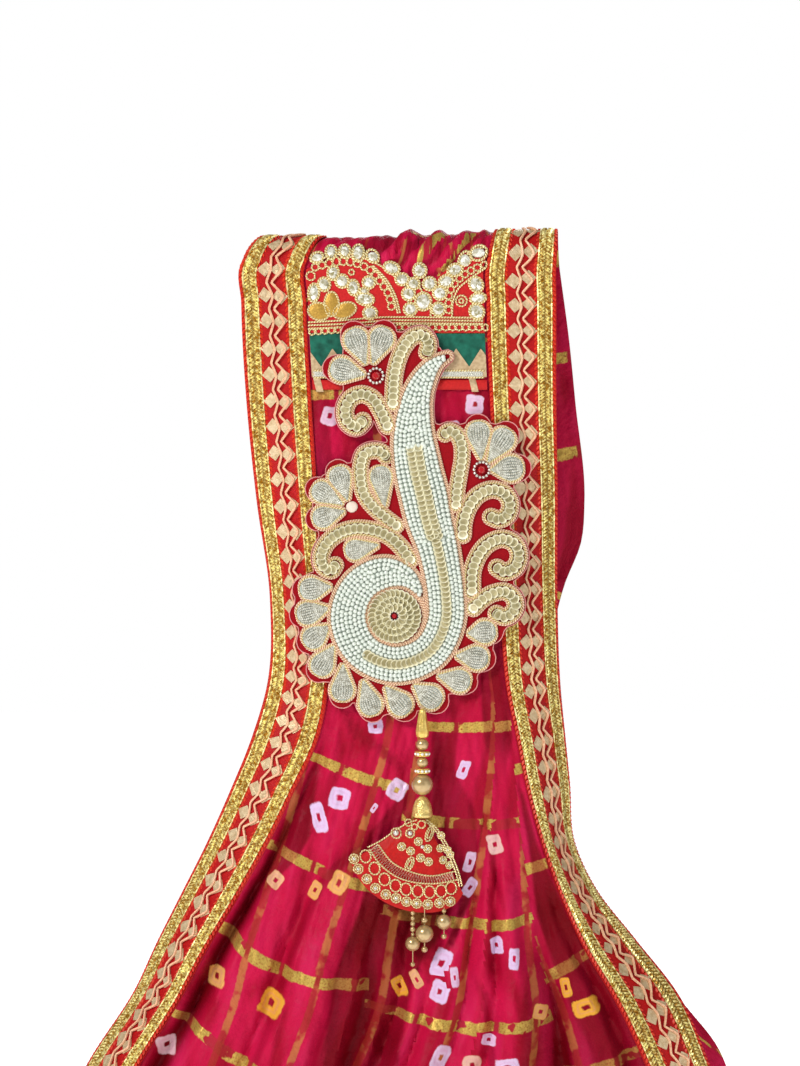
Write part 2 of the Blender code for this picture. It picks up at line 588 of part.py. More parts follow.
def make_felt(all_forms):
    """The stiffened felt, cut round the embroidery: the cells of a grid that lie on it, their
    rim drawn to its edge, merged to one flat face and thickened."""
    groups = [np.array([(x, z, r)]) for x, z, r in STONES.values()]
    for _, _, line, widths in all_forms:
        t = np.linspace(0, len(line) - 1, 3 * len(line))
        own = np.arange(len(line))
        groups.append(np.stack([np.interp(t, own, v) for v in (line[:, 0], line[:, 1], widths)], -1))
    cell = 2.4
    grid_x, grid_z = np.meshgrid(np.arange(-64, 86, cell), np.arange(-68, 180, cell))
    on_felt = felt_level(grid_x, grid_z, groups) < 0
    whole = on_felt[:-1, :-1] & on_felt[1:, :-1] & on_felt[:-1, 1:] & on_felt[1:, 1:]
    felt = bmesh.new()
    corners = {}
    for i, j in zip(*np.nonzero(whole)):
        ring = ((i, j), (i, j + 1), (i + 1, j + 1), (i + 1, j))
        for key in ring:
            if key not in corners:
                corners[key] = felt.verts.new((grid_x[key], 0, grid_z[key]))
        felt.faces.new([corners[key] for key in ring])
    holes = [e for e in felt.edges if e.is_boundary and in_small_loop(e)]
    bmesh.ops.holes_fill(felt, edges=holes, sides=0)
    bmesh.ops.dissolve_faces(felt, faces=felt.faces[:])
    rim = felt.verts[:]
    nudge = 0.05
    for _ in range(6):
        x, z = (np.array([v.co[axis] for v in rim]) for axis in (0, 2))
        here = felt_level(x, z, groups)
        slope_x = (felt_level(x + nudge, z, groups) - here) / nudge
        slope_z = (felt_level(x, z + nudge, groups) - here) / nudge
        for v, h, sx, sz in zip(rim, here, slope_x, slope_z):
            v.co.x -= 0.6 * h * sx
            v.co.z -= 0.6 * h * sz
    bmesh.ops.remove_doubles(felt, verts=felt.verts, dist=0.9)
    for v in felt.verts:
        v.co = (SPIRAL_X + v.co.x * MM, -PATCH_BACK, -SPIRAL_DROP + v.co.z * MM)
    front = bmesh.ops.extrude_face_region(felt, geom=felt.faces[:])
    moved = [g for g in front["geom"] if isinstance(g, bmesh.types.BMVert)]
    bmesh.ops.translate(felt, verts=moved, vec=(0, -PATCH_THICK, 0))
    bmesh.ops.recalc_face_normals(felt, faces=felt.faces)
    mesh = bpy.data.meshes.new("patch_felt")
    felt.to_mesh(mesh)
    felt.free()
    mesh.materials.append(material("red felt"))
    bpy.context.scene.collection.objects.link(bpy.data.objects.new("patch_felt", mesh))


def in_small_loop(edge):
    """Whether the open edge belongs to a hole between forms and not to the felt's own outline."""
    first = edge.verts[0]
    seen = {first}
    walk, came = edge.verts[1], edge
    while walk not in seen:
        seen.add(walk)
        onward = [e for e in walk.link_edges if e.is_boundary and e is not came]
        if not onward:
            return False
        came = onward[0]
        walk = came.other_vert(walk)
    widths = [v.co.x for v in seen]
    return max(widths) - min(widths) < 60


def make_patch():
    """The felt and every raised form on it."""
    all_forms = forms()
    make_felt(all_forms)
    looks = {"body": "pearl beads", "scroll": "champagne sequins", "petal": "silver wire"}
    for name, kind, line, widths in all_forms:
        if kind != "petal":
            line, widths = rounded(line, widths)
        raised_form(name, line, widths, FORM_HEIGHTS[kind], looks[kind])
    ring_in = STONES["stone_spiral"][2] + DISC_STONE_GAP
    sequin_disc(ring_in)
    for name, (x, z, radius) in STONES.items():
        dome(name, (x, z), radius, FORM_HEIGHTS["stone"], "red crystal")


def sequin_disc(inner):
    """The round of sequins inside the spiral: a ring with a stone's room in its middle."""
    sides = 20
    angle = np.arange(sides) * 2 * math.pi / sides
    circle = np.stack([np.cos(angle), np.sin(angle)], -1)
    profile = ((inner, 0), (inner, 0.9), (DISC_RADIUS * 0.6, 1), (DISC_RADIUS, 0.5), (DISC_RADIUS, 0))
    height = FORM_HEIGHTS["disc"]
    points = np.concatenate([on_patch(circle * r, np.array(h * height)) for r, h in profile])
    faces = []
    for ring in range(len(profile)):
        a, b = ring * sides, (ring + 1) % len(profile) * sides
        for j in range(sides):
            k = (j + 1) % sides
            faces.append((a + j, a + k, b + k, b + j))
    add_object("sequin_disc", points, faces, "champagne sequins")


def turned(name, profile, x, depth, material_name, sides=12):
    """A solid turned round a vertical line. The profile is (radius, z) pairs in millimetres from
    the lower pole to the upper one, without the poles."""
    angle = np.arange(sides) * 2 * math.pi / sides
    rings = []
    for radius, z in profile:
        ring = np.stack([x / MM + radius * np.cos(angle), -depth / MM + radius * np.sin(angle), np.full(sides, z)], -1)
        rings.append(ring * MM)
    faces = [tuple(range(sides)), tuple(range((len(profile) - 1) * sides, len(profile) * sides))]
    for i in range(len(profile) - 1):
        for j in range(sides):
            k = (j + 1) % sides
            faces.append((i * sides + j, i * sides + k, (i + 1) * sides + k, (i + 1) * sides + j))
    return add_object(name, np.concatenate(rings), faces, material_name)


def ball_profile(top, height, radius):
    """A sphere's profile, squashed to its height."""
    angles = np.radians((-66, -36, 0, 36, 66))
    return [(radius * math.cos(a), top - height / 2 + height / 2 * math.sin(a) / math.sin(angles[-1])) for a in angles]


def bead_profile(top, height, radius, kind):
    """The turned outline of each kind of bead, from its foot to its head."""
    if kind == "ball":
        return ball_profile(top, height, radius)
    shares = {
        "pear": ((0.45, 0), (0.95, 0.1), (1, 0.2), (0.72, 0.5), (0.4, 0.8), (0.18, 1)),
        "ring": ((0.75, 0), (1, 0.3), (1, 0.7), (0.75, 1)),
        "bell": ((1, 0), (0.95, 0.35), (0.72, 0.72), (0.3, 1)),
    }[kind]
    return [(radius * r, top - height + height * z) for r, z in shares]


def make_fan():
    """The tassel's padded fan: a sector that bulges in the middle and closes at its rim."""
    angles = np.radians(np.linspace(FAN_LEFT_DEG, FAN_RIGHT_DEG, 13))
    shares = np.array([0, 0.25, 0.5, 0.75, 0.93, 1])
    radii = FAN_APEX_RADIUS + (FAN_RADIUS - FAN_APEX_RADIUS) * shares
    x = TASSEL_X / MM + radii[:, None] * np.sin(angles)[None, :]
    z = -FAN_CENTRE - radii[:, None] * np.cos(angles)[None, :]
    edge = np.minimum(1, np.sin(np.linspace(0, math.pi, len(angles))) * 1.5 + 0.22)
    fade = np.array([0.75, 0.95, 1, 0.9, 0.6, 0.25])
    half = FAN_HALF_THICK * fade[:, None] * edge[None, :]
    middle = np.stack([x, np.full_like(x, -TASSEL_DEPTH / MM), z], -1) * MM
    normals = np.zeros_like(middle)
    normals[..., 1] = -half
    layer_solid("tassel_fan", middle, normals, -MM, MM, "tassel satin")


def make_loop():
    """The flat tape from the felt's lower edge to the first bead."""
    path = np.array([(0, -depth, -drop) for depth, drop in LOOP_PATH]) * MM
    heading = np.gradient(path, axis=0)
    normal = np.stack([0 * heading[:, 0], heading[:, 2], -heading[:, 1]], -1)
    normal /= np.linalg.norm(normal, axis=-1, keepdims=True)
    sides = np.array([(-0.5, 0, 0), (0.5, 0, 0)]) * LOOP_WIDTH + (TASSEL_X, 0, 0)
    points = path[:, None] + sides[None, :]
    normals = np.repeat(normal[:, None], 2, axis=1)
    layer_solid("tassel_loop", points, normals, -LOOP_THICK, 0, "gold beads")


def make_string(name, x, top, depth, radii):
    """One string of beads under the fan, its beads fused by short necks."""
    profile = []
    foot = -top - sum(2 * r for r in radii)
    z = foot
    for i, radius in enumerate(reversed(radii)):
        for angle in (-62, -28, 0, 28, 62):
            a = math.radians(angle)
            profile.append((radius * math.cos(a), z + radius + radius * math.sin(a) / math.sin(math.radians(66))))
        z += 2 * radius
        if i < len(radii) - 1:
            profile.append((STRING_NECK, z))
    turned(name, profile, x * MM, depth * MM, "gold beads", sides=8)


def make_tassel():
    """The tassel: a thread loop, turned beads, a cap, the fan and its strings."""
    for name, (top, height, radius, kind) in BEADS.items():
        look = "champagne sequins" if "pearl" in name else "gold beads"
        turned(name, bead_profile(-top, height, radius, kind), TASSEL_X, TASSEL_DEPTH, look, sides=10)
    make_loop()
    make_fan()
    for name, row in STRINGS.items():
        make_string(name, *row)


def main():
    for obj in list(bpy.data.objects):
        bpy.data.objects.remove(obj)
    make_cloth()
    make_bands()
    make_patch()
    make_tassel()


main()
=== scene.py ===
"""The looks of a bandhani cloth hung over its support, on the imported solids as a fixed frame.

Metres, +Z up; +X is to the right and -Y towards the viewer. The origin is on the crest of the fold.
"""

import math

import bpy
import numpy as np
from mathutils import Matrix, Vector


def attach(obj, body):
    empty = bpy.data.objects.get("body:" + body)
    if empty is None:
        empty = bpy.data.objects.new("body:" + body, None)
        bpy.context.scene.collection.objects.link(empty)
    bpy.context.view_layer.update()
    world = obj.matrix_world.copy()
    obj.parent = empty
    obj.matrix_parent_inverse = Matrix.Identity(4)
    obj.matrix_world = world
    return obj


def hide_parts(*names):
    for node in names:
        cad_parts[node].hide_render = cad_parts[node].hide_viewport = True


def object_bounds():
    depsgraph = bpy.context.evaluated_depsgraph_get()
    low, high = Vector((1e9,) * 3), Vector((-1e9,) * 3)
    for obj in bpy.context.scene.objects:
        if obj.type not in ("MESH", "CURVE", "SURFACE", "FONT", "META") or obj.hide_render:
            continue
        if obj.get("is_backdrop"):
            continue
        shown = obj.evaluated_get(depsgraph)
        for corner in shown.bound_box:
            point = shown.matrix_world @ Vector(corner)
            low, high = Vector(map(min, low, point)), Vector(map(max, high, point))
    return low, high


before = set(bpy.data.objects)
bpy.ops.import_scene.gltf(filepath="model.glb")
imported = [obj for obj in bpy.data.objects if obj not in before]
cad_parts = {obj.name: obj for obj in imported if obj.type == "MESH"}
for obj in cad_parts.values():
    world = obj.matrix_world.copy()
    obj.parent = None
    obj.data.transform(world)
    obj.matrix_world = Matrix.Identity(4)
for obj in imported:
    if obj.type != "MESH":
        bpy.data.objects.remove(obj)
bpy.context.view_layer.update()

# The camera, the floor and the light
# The cloth hangs in front of a seamless white studio: soft light from the front and above, with a
# weaker one from the right, so that the folds still show their dark sides.
MM = 0.001
PIXEL = 0.6 * MM  # one pixel of the photograph at the cloth, from the lace's width of 40 mm
CAMERA_AWAY = 1.5
PHOTO_HEIGHT = 1066
SENSOR = 36.0
FLOOR = -0.72


def linear(code):
    """An sRGB hex colour as linear red, green, blue and 1."""
    parts = [int(code[i : i + 2], 16) / 255 for i in (1, 3, 5)]
    return [p / 12.92 if p <= 0.04045 else ((p + 0.055) / 1.055) ** 2.4 for p in parts] + [1]


def feed(node, inputs):
    """Gives a node's sockets values, or links each to a socket or to the first output in use of a node."""
    for socket, value in inputs.items():
        if isinstance(value, bpy.types.Node):
            value = next(output for output in value.outputs if output.enabled)
        if isinstance(value, bpy.types.NodeSocket):
            node.id_data.links.new(value, node.inputs[socket])
        else:
            node.inputs[socket].default_value = value


def add(tree, kind, inputs=(), **settings):
    """Adds a shader node of this kind, with its settings and what its sockets are fed."""
    made = tree.nodes.new("ShaderNode" + kind)
    for name, value in settings.items():
        setattr(made, name, value)
    feed(made, dict(inputs))
    return made


def finish_named(name):
    """A new material with only its shader and output, and that shader."""
    made = bpy.data.materials.new(name)
    made.use_nodes = True
    return made, made.node_tree, made.node_tree.nodes["Principled BSDF"]


camera = bpy.data.objects.new("camera", bpy.data.cameras.new("camera"))
bpy.context.scene.collection.objects.link(camera)
camera.data.sensor_width = SENSOR
camera.data.lens = SENSOR * CAMERA_AWAY / (PHOTO_HEIGHT * PIXEL)
camera.location = (-0.0018, -0.015 - CAMERA_AWAY, -0.178)
camera.rotation_euler = (math.pi / 2, 0, 0)
bpy.context.scene.camera = camera
bpy.context.scene.view_settings.view_transform = "Standard"

world = bpy.data.worlds.new("studio")
world.use_nodes = True
sky = world.node_tree.nodes["Background"]
seen = add(world.node_tree, "LightPath")
glow = add(
    world.node_tree, "MapRange", {"Value": seen.outputs["Is Camera Ray"], "To Min": 0.24, "To Max": 1.0}
)
feed(sky, {"Strength": glow, "Color": (1, 1, 1, 1)})
bpy.context.scene.world = world

for name, power, size, place, aim in (
    ("key", 24, 0.6, (-1.0, -1.2, 0.75), (0, 0, -0.25)),
    ("fill", 3.5, 1.2, (1.3, -1.3, 0.1), (0, 0, -0.25)),
    ("back", 10, 1.0, (0.4, 1.6, 0.8), (0, 0, -0.25)),
):
    lamp = bpy.data.objects.new(name, bpy.data.lights.new(name, "AREA"))
    bpy.context.scene.collection.objects.link(lamp)
    lamp.data.energy = power
    lamp.data.size = size
    lamp.location = place
    way = np.array(aim) - np.array(place)
    lamp.rotation_euler = (
        math.atan2(math.hypot(way[0], way[1]), -way[2]),
        0,
        math.atan2(way[1], way[0]) - math.pi / 2,
    )

floor_mesh = bpy.data.meshes.new("floor")
floor_mesh.from_pydata([(-6, -6, FLOOR), (6, -6, FLOOR), (6, 6, FLOOR), (-6, 6, FLOOR)], [], [(0, 1, 2, 3)])
floor = bpy.data.objects.new("floor", floor_mesh)
bpy.context.scene.collection.objects.link(floor)
paper, _, paper_shader = finish_named("white studio paper")
feed(paper_shader, {"Base Color": (0.9, 0.9, 0.9, 1), "Roughness": 0.9})
feed(paper_shader, {"Emission Color": (1, 1, 1, 1), "Emission Strength": 0.85})
floor_mesh.materials.append(paper)
floor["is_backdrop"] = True

# The silk
# One length of thin crimson silk, woven with a check of gold thread and tie-dyed in the bandhani
# way: each tied point leaves a small square ring. It is gathered at the crest and hangs by it.
FOLD_RADIUS = 15 * MM  # rounding of the cloth over what holds it, to the middle of the cloth
HEM_DROP = 600 * MM
SILK_THICK = 0.5 * MM
LACE_WIDTH = 40 * MM
QUARTER = math.pi / 2 * FOLD_RADIUS

# The drop below the crest, then where the outer edge and the seam of each lace stand, in mm
FALL_COLUMNS = ("drop", "left_edge", "left_seam", "right_seam", "right_edge")
FRONT_FALL = (
    (0, -84, -46, 56, 94), (16, -97, -58, 50, 92), (40, -97, -58, 50, 92), (98, -94, -55, 52, 92),
    (158, -88, -51, 55, 93), (218, -80, -47, 58, 93), (272, -82, -45, 62, 95), (302, -91, -51, 68, 98),
    (332, -103, -65, 74, 101), (368, -119, -83, 84, 104), (398, -134, -100, 95, 118),
    (428, -149, -118, 109, 142), (458, -163, -134, 127, 166), (498, -189, -159, 146, 184),
    (600, -232, -196, 178, 216),
)
BACK_FALL = (
    (0, -84, -46, 56, 94), (16, -86, -47, 57, 96), (60, -86, -46, 62, 102), (98, -84, -44, 66, 106),
    (158, -78, -38, 72, 112), (184, -76, -36, 70, 110), (210, -75, -35, 60, 100), (240, -76, -36, 53, 93),
    (290, -84, -44, 52, 92), (340, -98, -58, 58, 98), (398, -122, -82, 78, 118),
    (440, -142, -100, 106, 148), (478, -161, -120, 138, 180), (498, -171, -130, 154, 196),
    (530, -186, -146, 168, 209), (600, -218, -178, 186, 226),
)
# Folds between the seams: the place as a share of the width, at two drops; half width, as a
# share too; height in mm, below 0 for a valley; and the drop in mm at which the fold starts
UPPER_DROP = 340 * MM
LOWER_DROP = 500 * MM
FOLD_GROWTH = 170 * MM
FRONT_FOLDS = (
    (0.035, 0.03, 0.035, -13, 262), (0.15, 0.14, 0.055, 9, 330), (0.33, 0.29, 0.08, 17, 300),
    (0.48, 0.41, 0.06, -12, 345), (0.79, 0.56, 0.065, 21, 365), (0.89, 0.73, 0.07, 23, 325),
    (0.96, 0.825, 0.04, -13, 335), (0.97, 0.915, 0.04, 5, 360), (0.975, 0.98, 0.03, -11, 345),
)
BACK_FOLDS = (
    (0.06, 0.04, 0.035, -8, 250), (0.2, 0.15, 0.06, 16, 220), (0.34, 0.3, 0.05, -8, 260),
    (0.48, 0.44, 0.07, 20, 240), (0.64, 0.6, 0.05, -9, 280), (0.78, 0.76, 0.07, 19, 230),
    (0.93, 0.95, 0.04, -9, 250),
)
# Small pleats and creases that the solids leave out, in the same columns
FRONT_CREASES = (
    (0.085, 0.08, 0.016, 3, 300), (0.215, 0.205, 0.018, -3, 320), (0.262, 0.236, 0.014, 2.2, 300),
    (0.385, 0.345, 0.016, -3.2, 330), (0.44, 0.385, 0.014, 3.4, 330), (0.545, 0.44, 0.014, 4.2, 335),
    (0.6, 0.468, 0.012, -4, 335), (0.65, 0.495, 0.014, 4.6, 340), (0.705, 0.522, 0.012, -3.4, 345),
    (0.815, 0.592, 0.013, -4, 290), (0.845, 0.64, 0.018, 3.4, 300), (0.868, 0.676, 0.013, -3.8, 290),
    (0.915, 0.775, 0.014, -3.2, 300), (0.935, 0.868, 0.016, 3, 330), (0.955, 0.945, 0.014, 3.2, 340),
)
BACK_CREASES = (
    (0.1, 0.095, 0.016, 3, 200), (0.15, 0.11, 0.014, -2.6, 200), (0.26, 0.215, 0.018, -3.4, 180),
    (0.4, 0.37, 0.016, 3.2, 190), (0.54, 0.52, 0.018, -3.6, 180), (0.6, 0.56, 0.014, 3, 210),
    (0.71, 0.68, 0.016, 3.4, 200), (0.85, 0.83, 0.018, -3.4, 190), (0.9, 0.9, 0.014, 2.6, 210),
)
SWING_DROPS = (0, 120, 200, 300, 400, 500, 600)  # how far the falls swing outwards, by drop in mm
SWING_FRONT = (0, 0, 0, 0, 1, 10, 17)
SWING_BACK = (0, 8, 16, 25, 32, 40, 48)
# Bunched cloth on the crest: place across the ground, half width and height in mm
CREST_BUNCHES = (
    (0.12, 0.05, 1), (0.33, 0.05, 2.2), (0.5, 0.06, 4.2), (0.66, 0.04, 3), (0.82, 0.04, 2),
    (0.95, 0.03, 2.6),
)
BUNCH_REACH = 20 * MM
CREST_RISE_RIGHT = 4 * MM


def eased(x, known_x, known_y):
    """Cubic curve through the known points, level beyond the ends; slopes are central differences."""
    known_x, known_y = np.asarray(known_x, float), np.asarray(known_y, float)
    slopes = np.gradient(known_y, known_x)
    x = np.clip(x, known_x[0], known_x[-1])
    i = np.clip(np.searchsorted(known_x, x, side="right") - 1, 0, len(known_x) - 2)
    step = known_x[i + 1] - known_x[i]
    t = (x - known_x[i]) / step
    return (
        known_y[i] * (2 * t**3 - 3 * t**2 + 1)
        + slopes[i] * step * (t**3 - 2 * t**2 + t)
        + known_y[i + 1] * (3 * t**2 - 2 * t**3)
        + slopes[i + 1] * step * (t**3 - t**2)
    )


def ramp(x, low, high):
    """0 below low, 1 above high, and a smooth S between them."""
    t = np.clip((x - low) / (high - low), 0, 1)
    return t * t * (3 - 2 * t)


def fold_place(drop, upper, lower):
    """A fold's place across the ground: it moves in a straight line between the two drops."""
    share = (drop - UPPER_DROP) / (LOWER_DROP - UPPER_DROP)
    return upper + (lower - upper) * np.clip(share, -0.4, 1.4)


def fold_heights(across, drop, folds):
    """Sum of bells across the ground, each growing downwards from the drop where its fold starts."""
    total = np.zeros(across.shape)
    for upper, lower, half_width, height, starts in folds:
        grown = ramp(drop, starts * MM, starts * MM + FOLD_GROWTH)
        away = (across - fold_place(drop, upper, lower)) / half_width
        total += height * MM * grown * np.exp(-(away**2))
    return total * ramp(across, 0.0, 0.05) * ramp(1 - across, 0.0, 0.05)


def fall_lines(drop, table):
    """The four lines of a fall at these drops, in metres."""
    rows = np.array(table, float) * MM
    return {name: eased(drop, rows[:, 0], rows[:, i]) for i, name in enumerate(FALL_COLUMNS) if i}


def lace_recess(drop, side):
    """How far a front lace's outer edge goes back in depth, so that it keeps its true width."""
    samples = np.linspace(0, HEM_DROP, 61)
    lines = fall_lines(samples, FRONT_FALL)
    lean = np.gradient(lines[f"{side}_edge"], samples)
    shown = np.abs(lines[f"{side}_edge"] - lines[f"{side}_seam"]) / np.sqrt(1 + lean**2)
    recess = np.sqrt(np.maximum(LACE_WIDTH**2 - shown**2, 0)) * ramp(samples, 30 * MM, 150 * MM)
    return np.interp(drop, samples, recess)


def drop_of(station):
    """How far below the crest a station is; the fold itself counts as its rounding's radius."""
    length = np.abs(station)
    return np.where(length < QUARTER, length * FOLD_RADIUS / QUARTER, length - QUARTER + FOLD_RADIUS)


def cloth_points(across, station, fine=0.0):
    """Middle of the cloth. Across is -1 to 0 over the left lace, 0 to 1 over the ground and 1 to 2
    over the right lace; station is the way along from the crest, below 0 in front. The cloth is a
    half round at the crest with a straight fall each side; folds are added along its normal."""
    across, station = np.broadcast_arrays(np.asarray(across, float), np.asarray(station, float))
    drop = drop_of(station)
    hanging = np.maximum(np.abs(station) - QUARTER, 0)
    turn = np.clip(station / FOLD_RADIUS, -math.pi / 2, math.pi / 2)
    ground = np.clip(across, 0, 1)
    left = np.clip(-across, 0, 1)
    right = np.clip(across - 1, 0, 1)
    front = station < 0
    x = np.zeros(across.shape)
    out = np.array(fine * np.ones(across.shape))
    for here, table, folds, swing in (
        (front, FRONT_FALL, FRONT_FOLDS, SWING_FRONT),
        (~front, BACK_FALL, BACK_FOLDS, SWING_BACK),
    ):
        lines = fall_lines(drop, table)
        over = lines["left_seam"] + ground * (lines["right_seam"] - lines["left_seam"])
        over += left * (lines["left_edge"] - lines["left_seam"])
        over += right * (lines["right_edge"] - lines["right_seam"])
        lift = eased(drop, np.array(SWING_DROPS) * MM, np.array(swing) * MM)
        lift = lift + fold_heights(ground, drop, folds)
        if table is FRONT_FALL:
            lift -= left**1.3 * lace_recess(drop, "left") + right**1.3 * lace_recess(drop, "right")
        x = np.where(here, over, x)
        out = np.where(here, out + lift, out)
    near_crest = np.exp(-((station / BUNCH_REACH) ** 2))
    for place, half_width, height in CREST_BUNCHES:
        out = out + height * MM * near_crest * np.exp(-(((across - place) / half_width) ** 2))
    out = out + CREST_RISE_RIGHT * near_crest * ramp(across, 0.2, 1.2)
    y = (FOLD_RADIUS + out) * np.sin(turn)
    z = FOLD_RADIUS * (np.cos(turn) - 1) - hanging + out * np.cos(turn)
    return np.stack([x, y, z], axis=-1)


def unit(vectors):
    """Vectors of length 1."""
    return vectors / np.maximum(np.linalg.norm(vectors, axis=-1, keepdims=True), 1e-12)


def normals_of(points):
    """Unit normals of a grid of points, pointing away from the gap between the falls."""
    return unit(np.cross(np.gradient(points, axis=1), np.gradient(points, axis=0)))


def lengths(line):
    """The length of a line of points up to each of them."""
    return np.concatenate([[0], np.cumsum(np.linalg.norm(np.diff(line, axis=0), axis=1))])


def ripple(over, along, seed, waves, shortest, longest, stretch):
    """Smooth noise from -1 to 1: a sum of sine waves of random direction, length and phase, each
    longer along the second coordinate than across the first. Coordinates are in metres."""
    dice = np.random.default_rng(seed)
    total = np.zeros(np.broadcast(over, along).shape)
    for length in np.geomspace(shortest, longest, waves) * MM:
        lean = dice.uniform(-1, 1)
        phase = dice.uniform(0, 2 * math.pi)
        total += np.sin(2 * math.pi * (over / length + lean * along / (length * stretch)) + phase)
    return total / math.sqrt(waves)


def new_piece(name, points, faces, finish, stands_for=(), corners=(), points_data=()):
    """A piece from a point array and one or more face arrays, each with its own corner count, in
    its colour slot and in place of the solids that it stands for. Corners holds (name, values) for
    each face corner: two columns make a UV map, three a vector. Points_data holds (name, value)."""
    faces = [np.asarray(f, int) for f in (faces if isinstance(faces, list) else [faces])]
    mesh = bpy.data.meshes.new(name)
    loops = np.concatenate([f.ravel() for f in faces])
    sizes = np.concatenate([np.full(len(f), f.shape[1]) for f in faces])
    mesh.vertices.add(len(points))
    mesh.vertices.foreach_set("co", np.asarray(points, float).ravel())
    mesh.loops.add(len(loops))
    mesh.loops.foreach_set("vertex_index", loops)
    mesh.polygons.add(len(sizes))
    mesh.polygons.foreach_set("loop_start", np.concatenate([[0], np.cumsum(sizes)[:-1]]))
    for label, values in corners:
        if values.shape[-1] == 2:
            layer = mesh.uv_layers.new(name=label)
            layer.uv.foreach_set("vector", values.ravel())
        else:
            made = mesh.attributes.new(label, "FLOAT_VECTOR", "CORNER")
            made.data.foreach_set("vector", values.ravel())
    for label, values in points_data:
        made = mesh.attributes.new(label, "FLOAT", "POINT")
        made.data.foreach_set("value", values.ravel())
    mesh.materials.append(finish)
    mesh.update(calc_edges=True)
    mesh.validate()
    mesh.shade_smooth()
    mesh.set_sharp_from_angle(angle=math.radians(50))
    piece = bpy.data.objects.new(name, mesh)
    bpy.context.scene.collection.objects.link(piece)
    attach(piece, "root")
    if stands_for:
        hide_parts(*stands_for)
    return piece


def grid_faces(rows, columns, first=0, flip=False):
    """Quads over a grid of points, row after row."""
    index = first + np.arange(rows * columns).reshape(rows, columns)
    order = (index[:-1, :-1], index[:-1, 1:], index[1:, 1:], index[1:, :-1])
    quads = np.stack(order, -1).reshape(-1, 4)
    return quads[:, ::-1] if flip else quads


def rim_faces(rows, columns, top):
    """Quads that join the outlines of a lower grid and an upper one, which starts at index top."""
    index = np.arange(rows * columns).reshape(rows, columns)
    rim = np.concatenate([index[0, :-1], index[:-1, -1], index[-1, :0:-1], index[:0:-1, 0]])
    after = np.roll(rim, -1)
    return np.stack([rim, rim + top, after + top, after], -1)


# How the check lies in the folds.
PANELS = (
    (0.33, 0.29, 0.48, 0.41, 2, 35.5), (0.79, 0.56, 0.845, 0.64, 6, 2.5),
    (0.89, 0.73, 0.95, 0.815, 12, 2.5), (0.97, 0.915, 9, 9, -14, 28),
)
BACK_PANELS = (
    (0.2, 0.15, 0.34, 0.3, 0, 12), (0.48, 0.44, 0.64, 0.6, 8, 40), (0.78, 0.76, 9, 9, -6, 20),
)
WARP_PITCH = 46.0
WEFT_PITCH = 58.5

# Tied rings that the front shows: place across and drop, width, height and lean to the right in
# degrees, and how far the colour has gone from white (0) to yellow (1). In millimetres.
TIES = (
    (-38.1, 337.1, 13, 13, 10, 0), (-50.4, 348.7, 8.5, 19, -14, 0), (-3.6, 332.1, 11, 13, 30, 0.05),
    (-16.6, 294, 9, 9, 0, 0), (-17.4, 342.9, 3, 6, 35, 0.1), (-141.7, 484.6, 12, 13, -6, 0.35),
    (-38.1, 386.8, 11, 14, 30, 0.9), (-78.4, 458, 14.5, 16, 25, 1), (-111.5, 443.6, 11, 12, 6, 0.9),
    (-76.3, 386, 9, 10, 40, 0.75), (-52.5, 391.8, 7, 11, 25, 0.9), (-2.2, 449.4, 8, 13, -25, 1),
    (8, 444.3, 6, 11, -30, 0.8), (22.7, 435, 11, 18, 24, 0), (22, 450.8, 10.5, 13, 18, 0),
    (36.3, 319.9, 6.5, 12, 22, 0), (39.9, 375.3, 6.5, 13, 16, 0.1), (39.9, 390.4, 7, 12, 32, 0),
    (55.8, 423.5, 8, 10, -10, 0), (65.8, 430.7, 6.5, 13, 4, 0), (30.6, 442.2, 5, 12, -6, 0.1),
    (22, 488.2, 10, 15, 26, 0.1), (61.5, 492.5, 14, 11, -8, 0.05), (55, 364.5, 9, 12, -14, 0.5),
    (50.7, 478.1, 9, 7, 10, 0.1), (109, 460.9, 16, 11, -18, 1), (81.7, 463, 10, 9, 20, 0.9),
    (40.7, 492.5, 11, 11, 0, 0.6), (97.5, 449.4, 6, 12, -12, 1), (43, 101, 11, 12, 8, 0.15),
    (30, 116, 9, 11, -12, 0.1), (-44, 108, 10, 12, 12, 0.2), (-36, 160, 9, 12, -10, 0.1),
    (-42, 262, 8, 11, 12, 0.1),
)


def thread_coordinates(x, drop, ridge, slope_here, slope_ridge, across_shift, along_shift):
    """Place in the weave, in mm. Across is the distance from the panel's ridge; along is the drop
    corrected by the slope of the threads times that distance, so that the weft crosses the warp
    squarely."""
    over = (x - ridge) / MM - across_shift
    along = drop / MM + 0.5 * (slope_here + slope_ridge) * (x - ridge) / MM - along_shift
    return np.stack([over, along], -1)


def cut_of_faces(quads, across, x, drop, table, panels):
    """The weave's coordinates at each corner: every face takes those of the panel that it is in."""
    middle_across = across[quads].mean(axis=1)
    middle_drop = drop[quads].mean(axis=1)
    cut = np.zeros(quads.shape + (2,))
    taken = np.zeros(len(quads), bool)
    step = 4 * MM
    for upper, lower, valley_upper, valley_lower, across_shift, along_shift in panels:
        here = ~taken & (middle_across < fold_place(middle_drop, valley_upper, valley_lower))
        taken |= here
        corner = quads[here]

        def at(depth, place=None):
            lines = fall_lines(depth, table)
            share = across[corner] if place is None else fold_place(depth, *place)
            return lines["left_seam"] + share * (lines["right_seam"] - lines["left_seam"])

        depth = drop[corner]
        ridge = at(depth, (upper, lower))
        slope_here = (at(depth + step) - at(depth - step)) / (2 * step)
        slope_ridge = (at(depth + step, (upper, lower)) - at(depth - step, (upper, lower))) / (2 * step)
        cut[here] = thread_coordinates(
            x[corner], depth, ridge, slope_here, slope_ridge, across_shift, along_shift
        )
    return cut


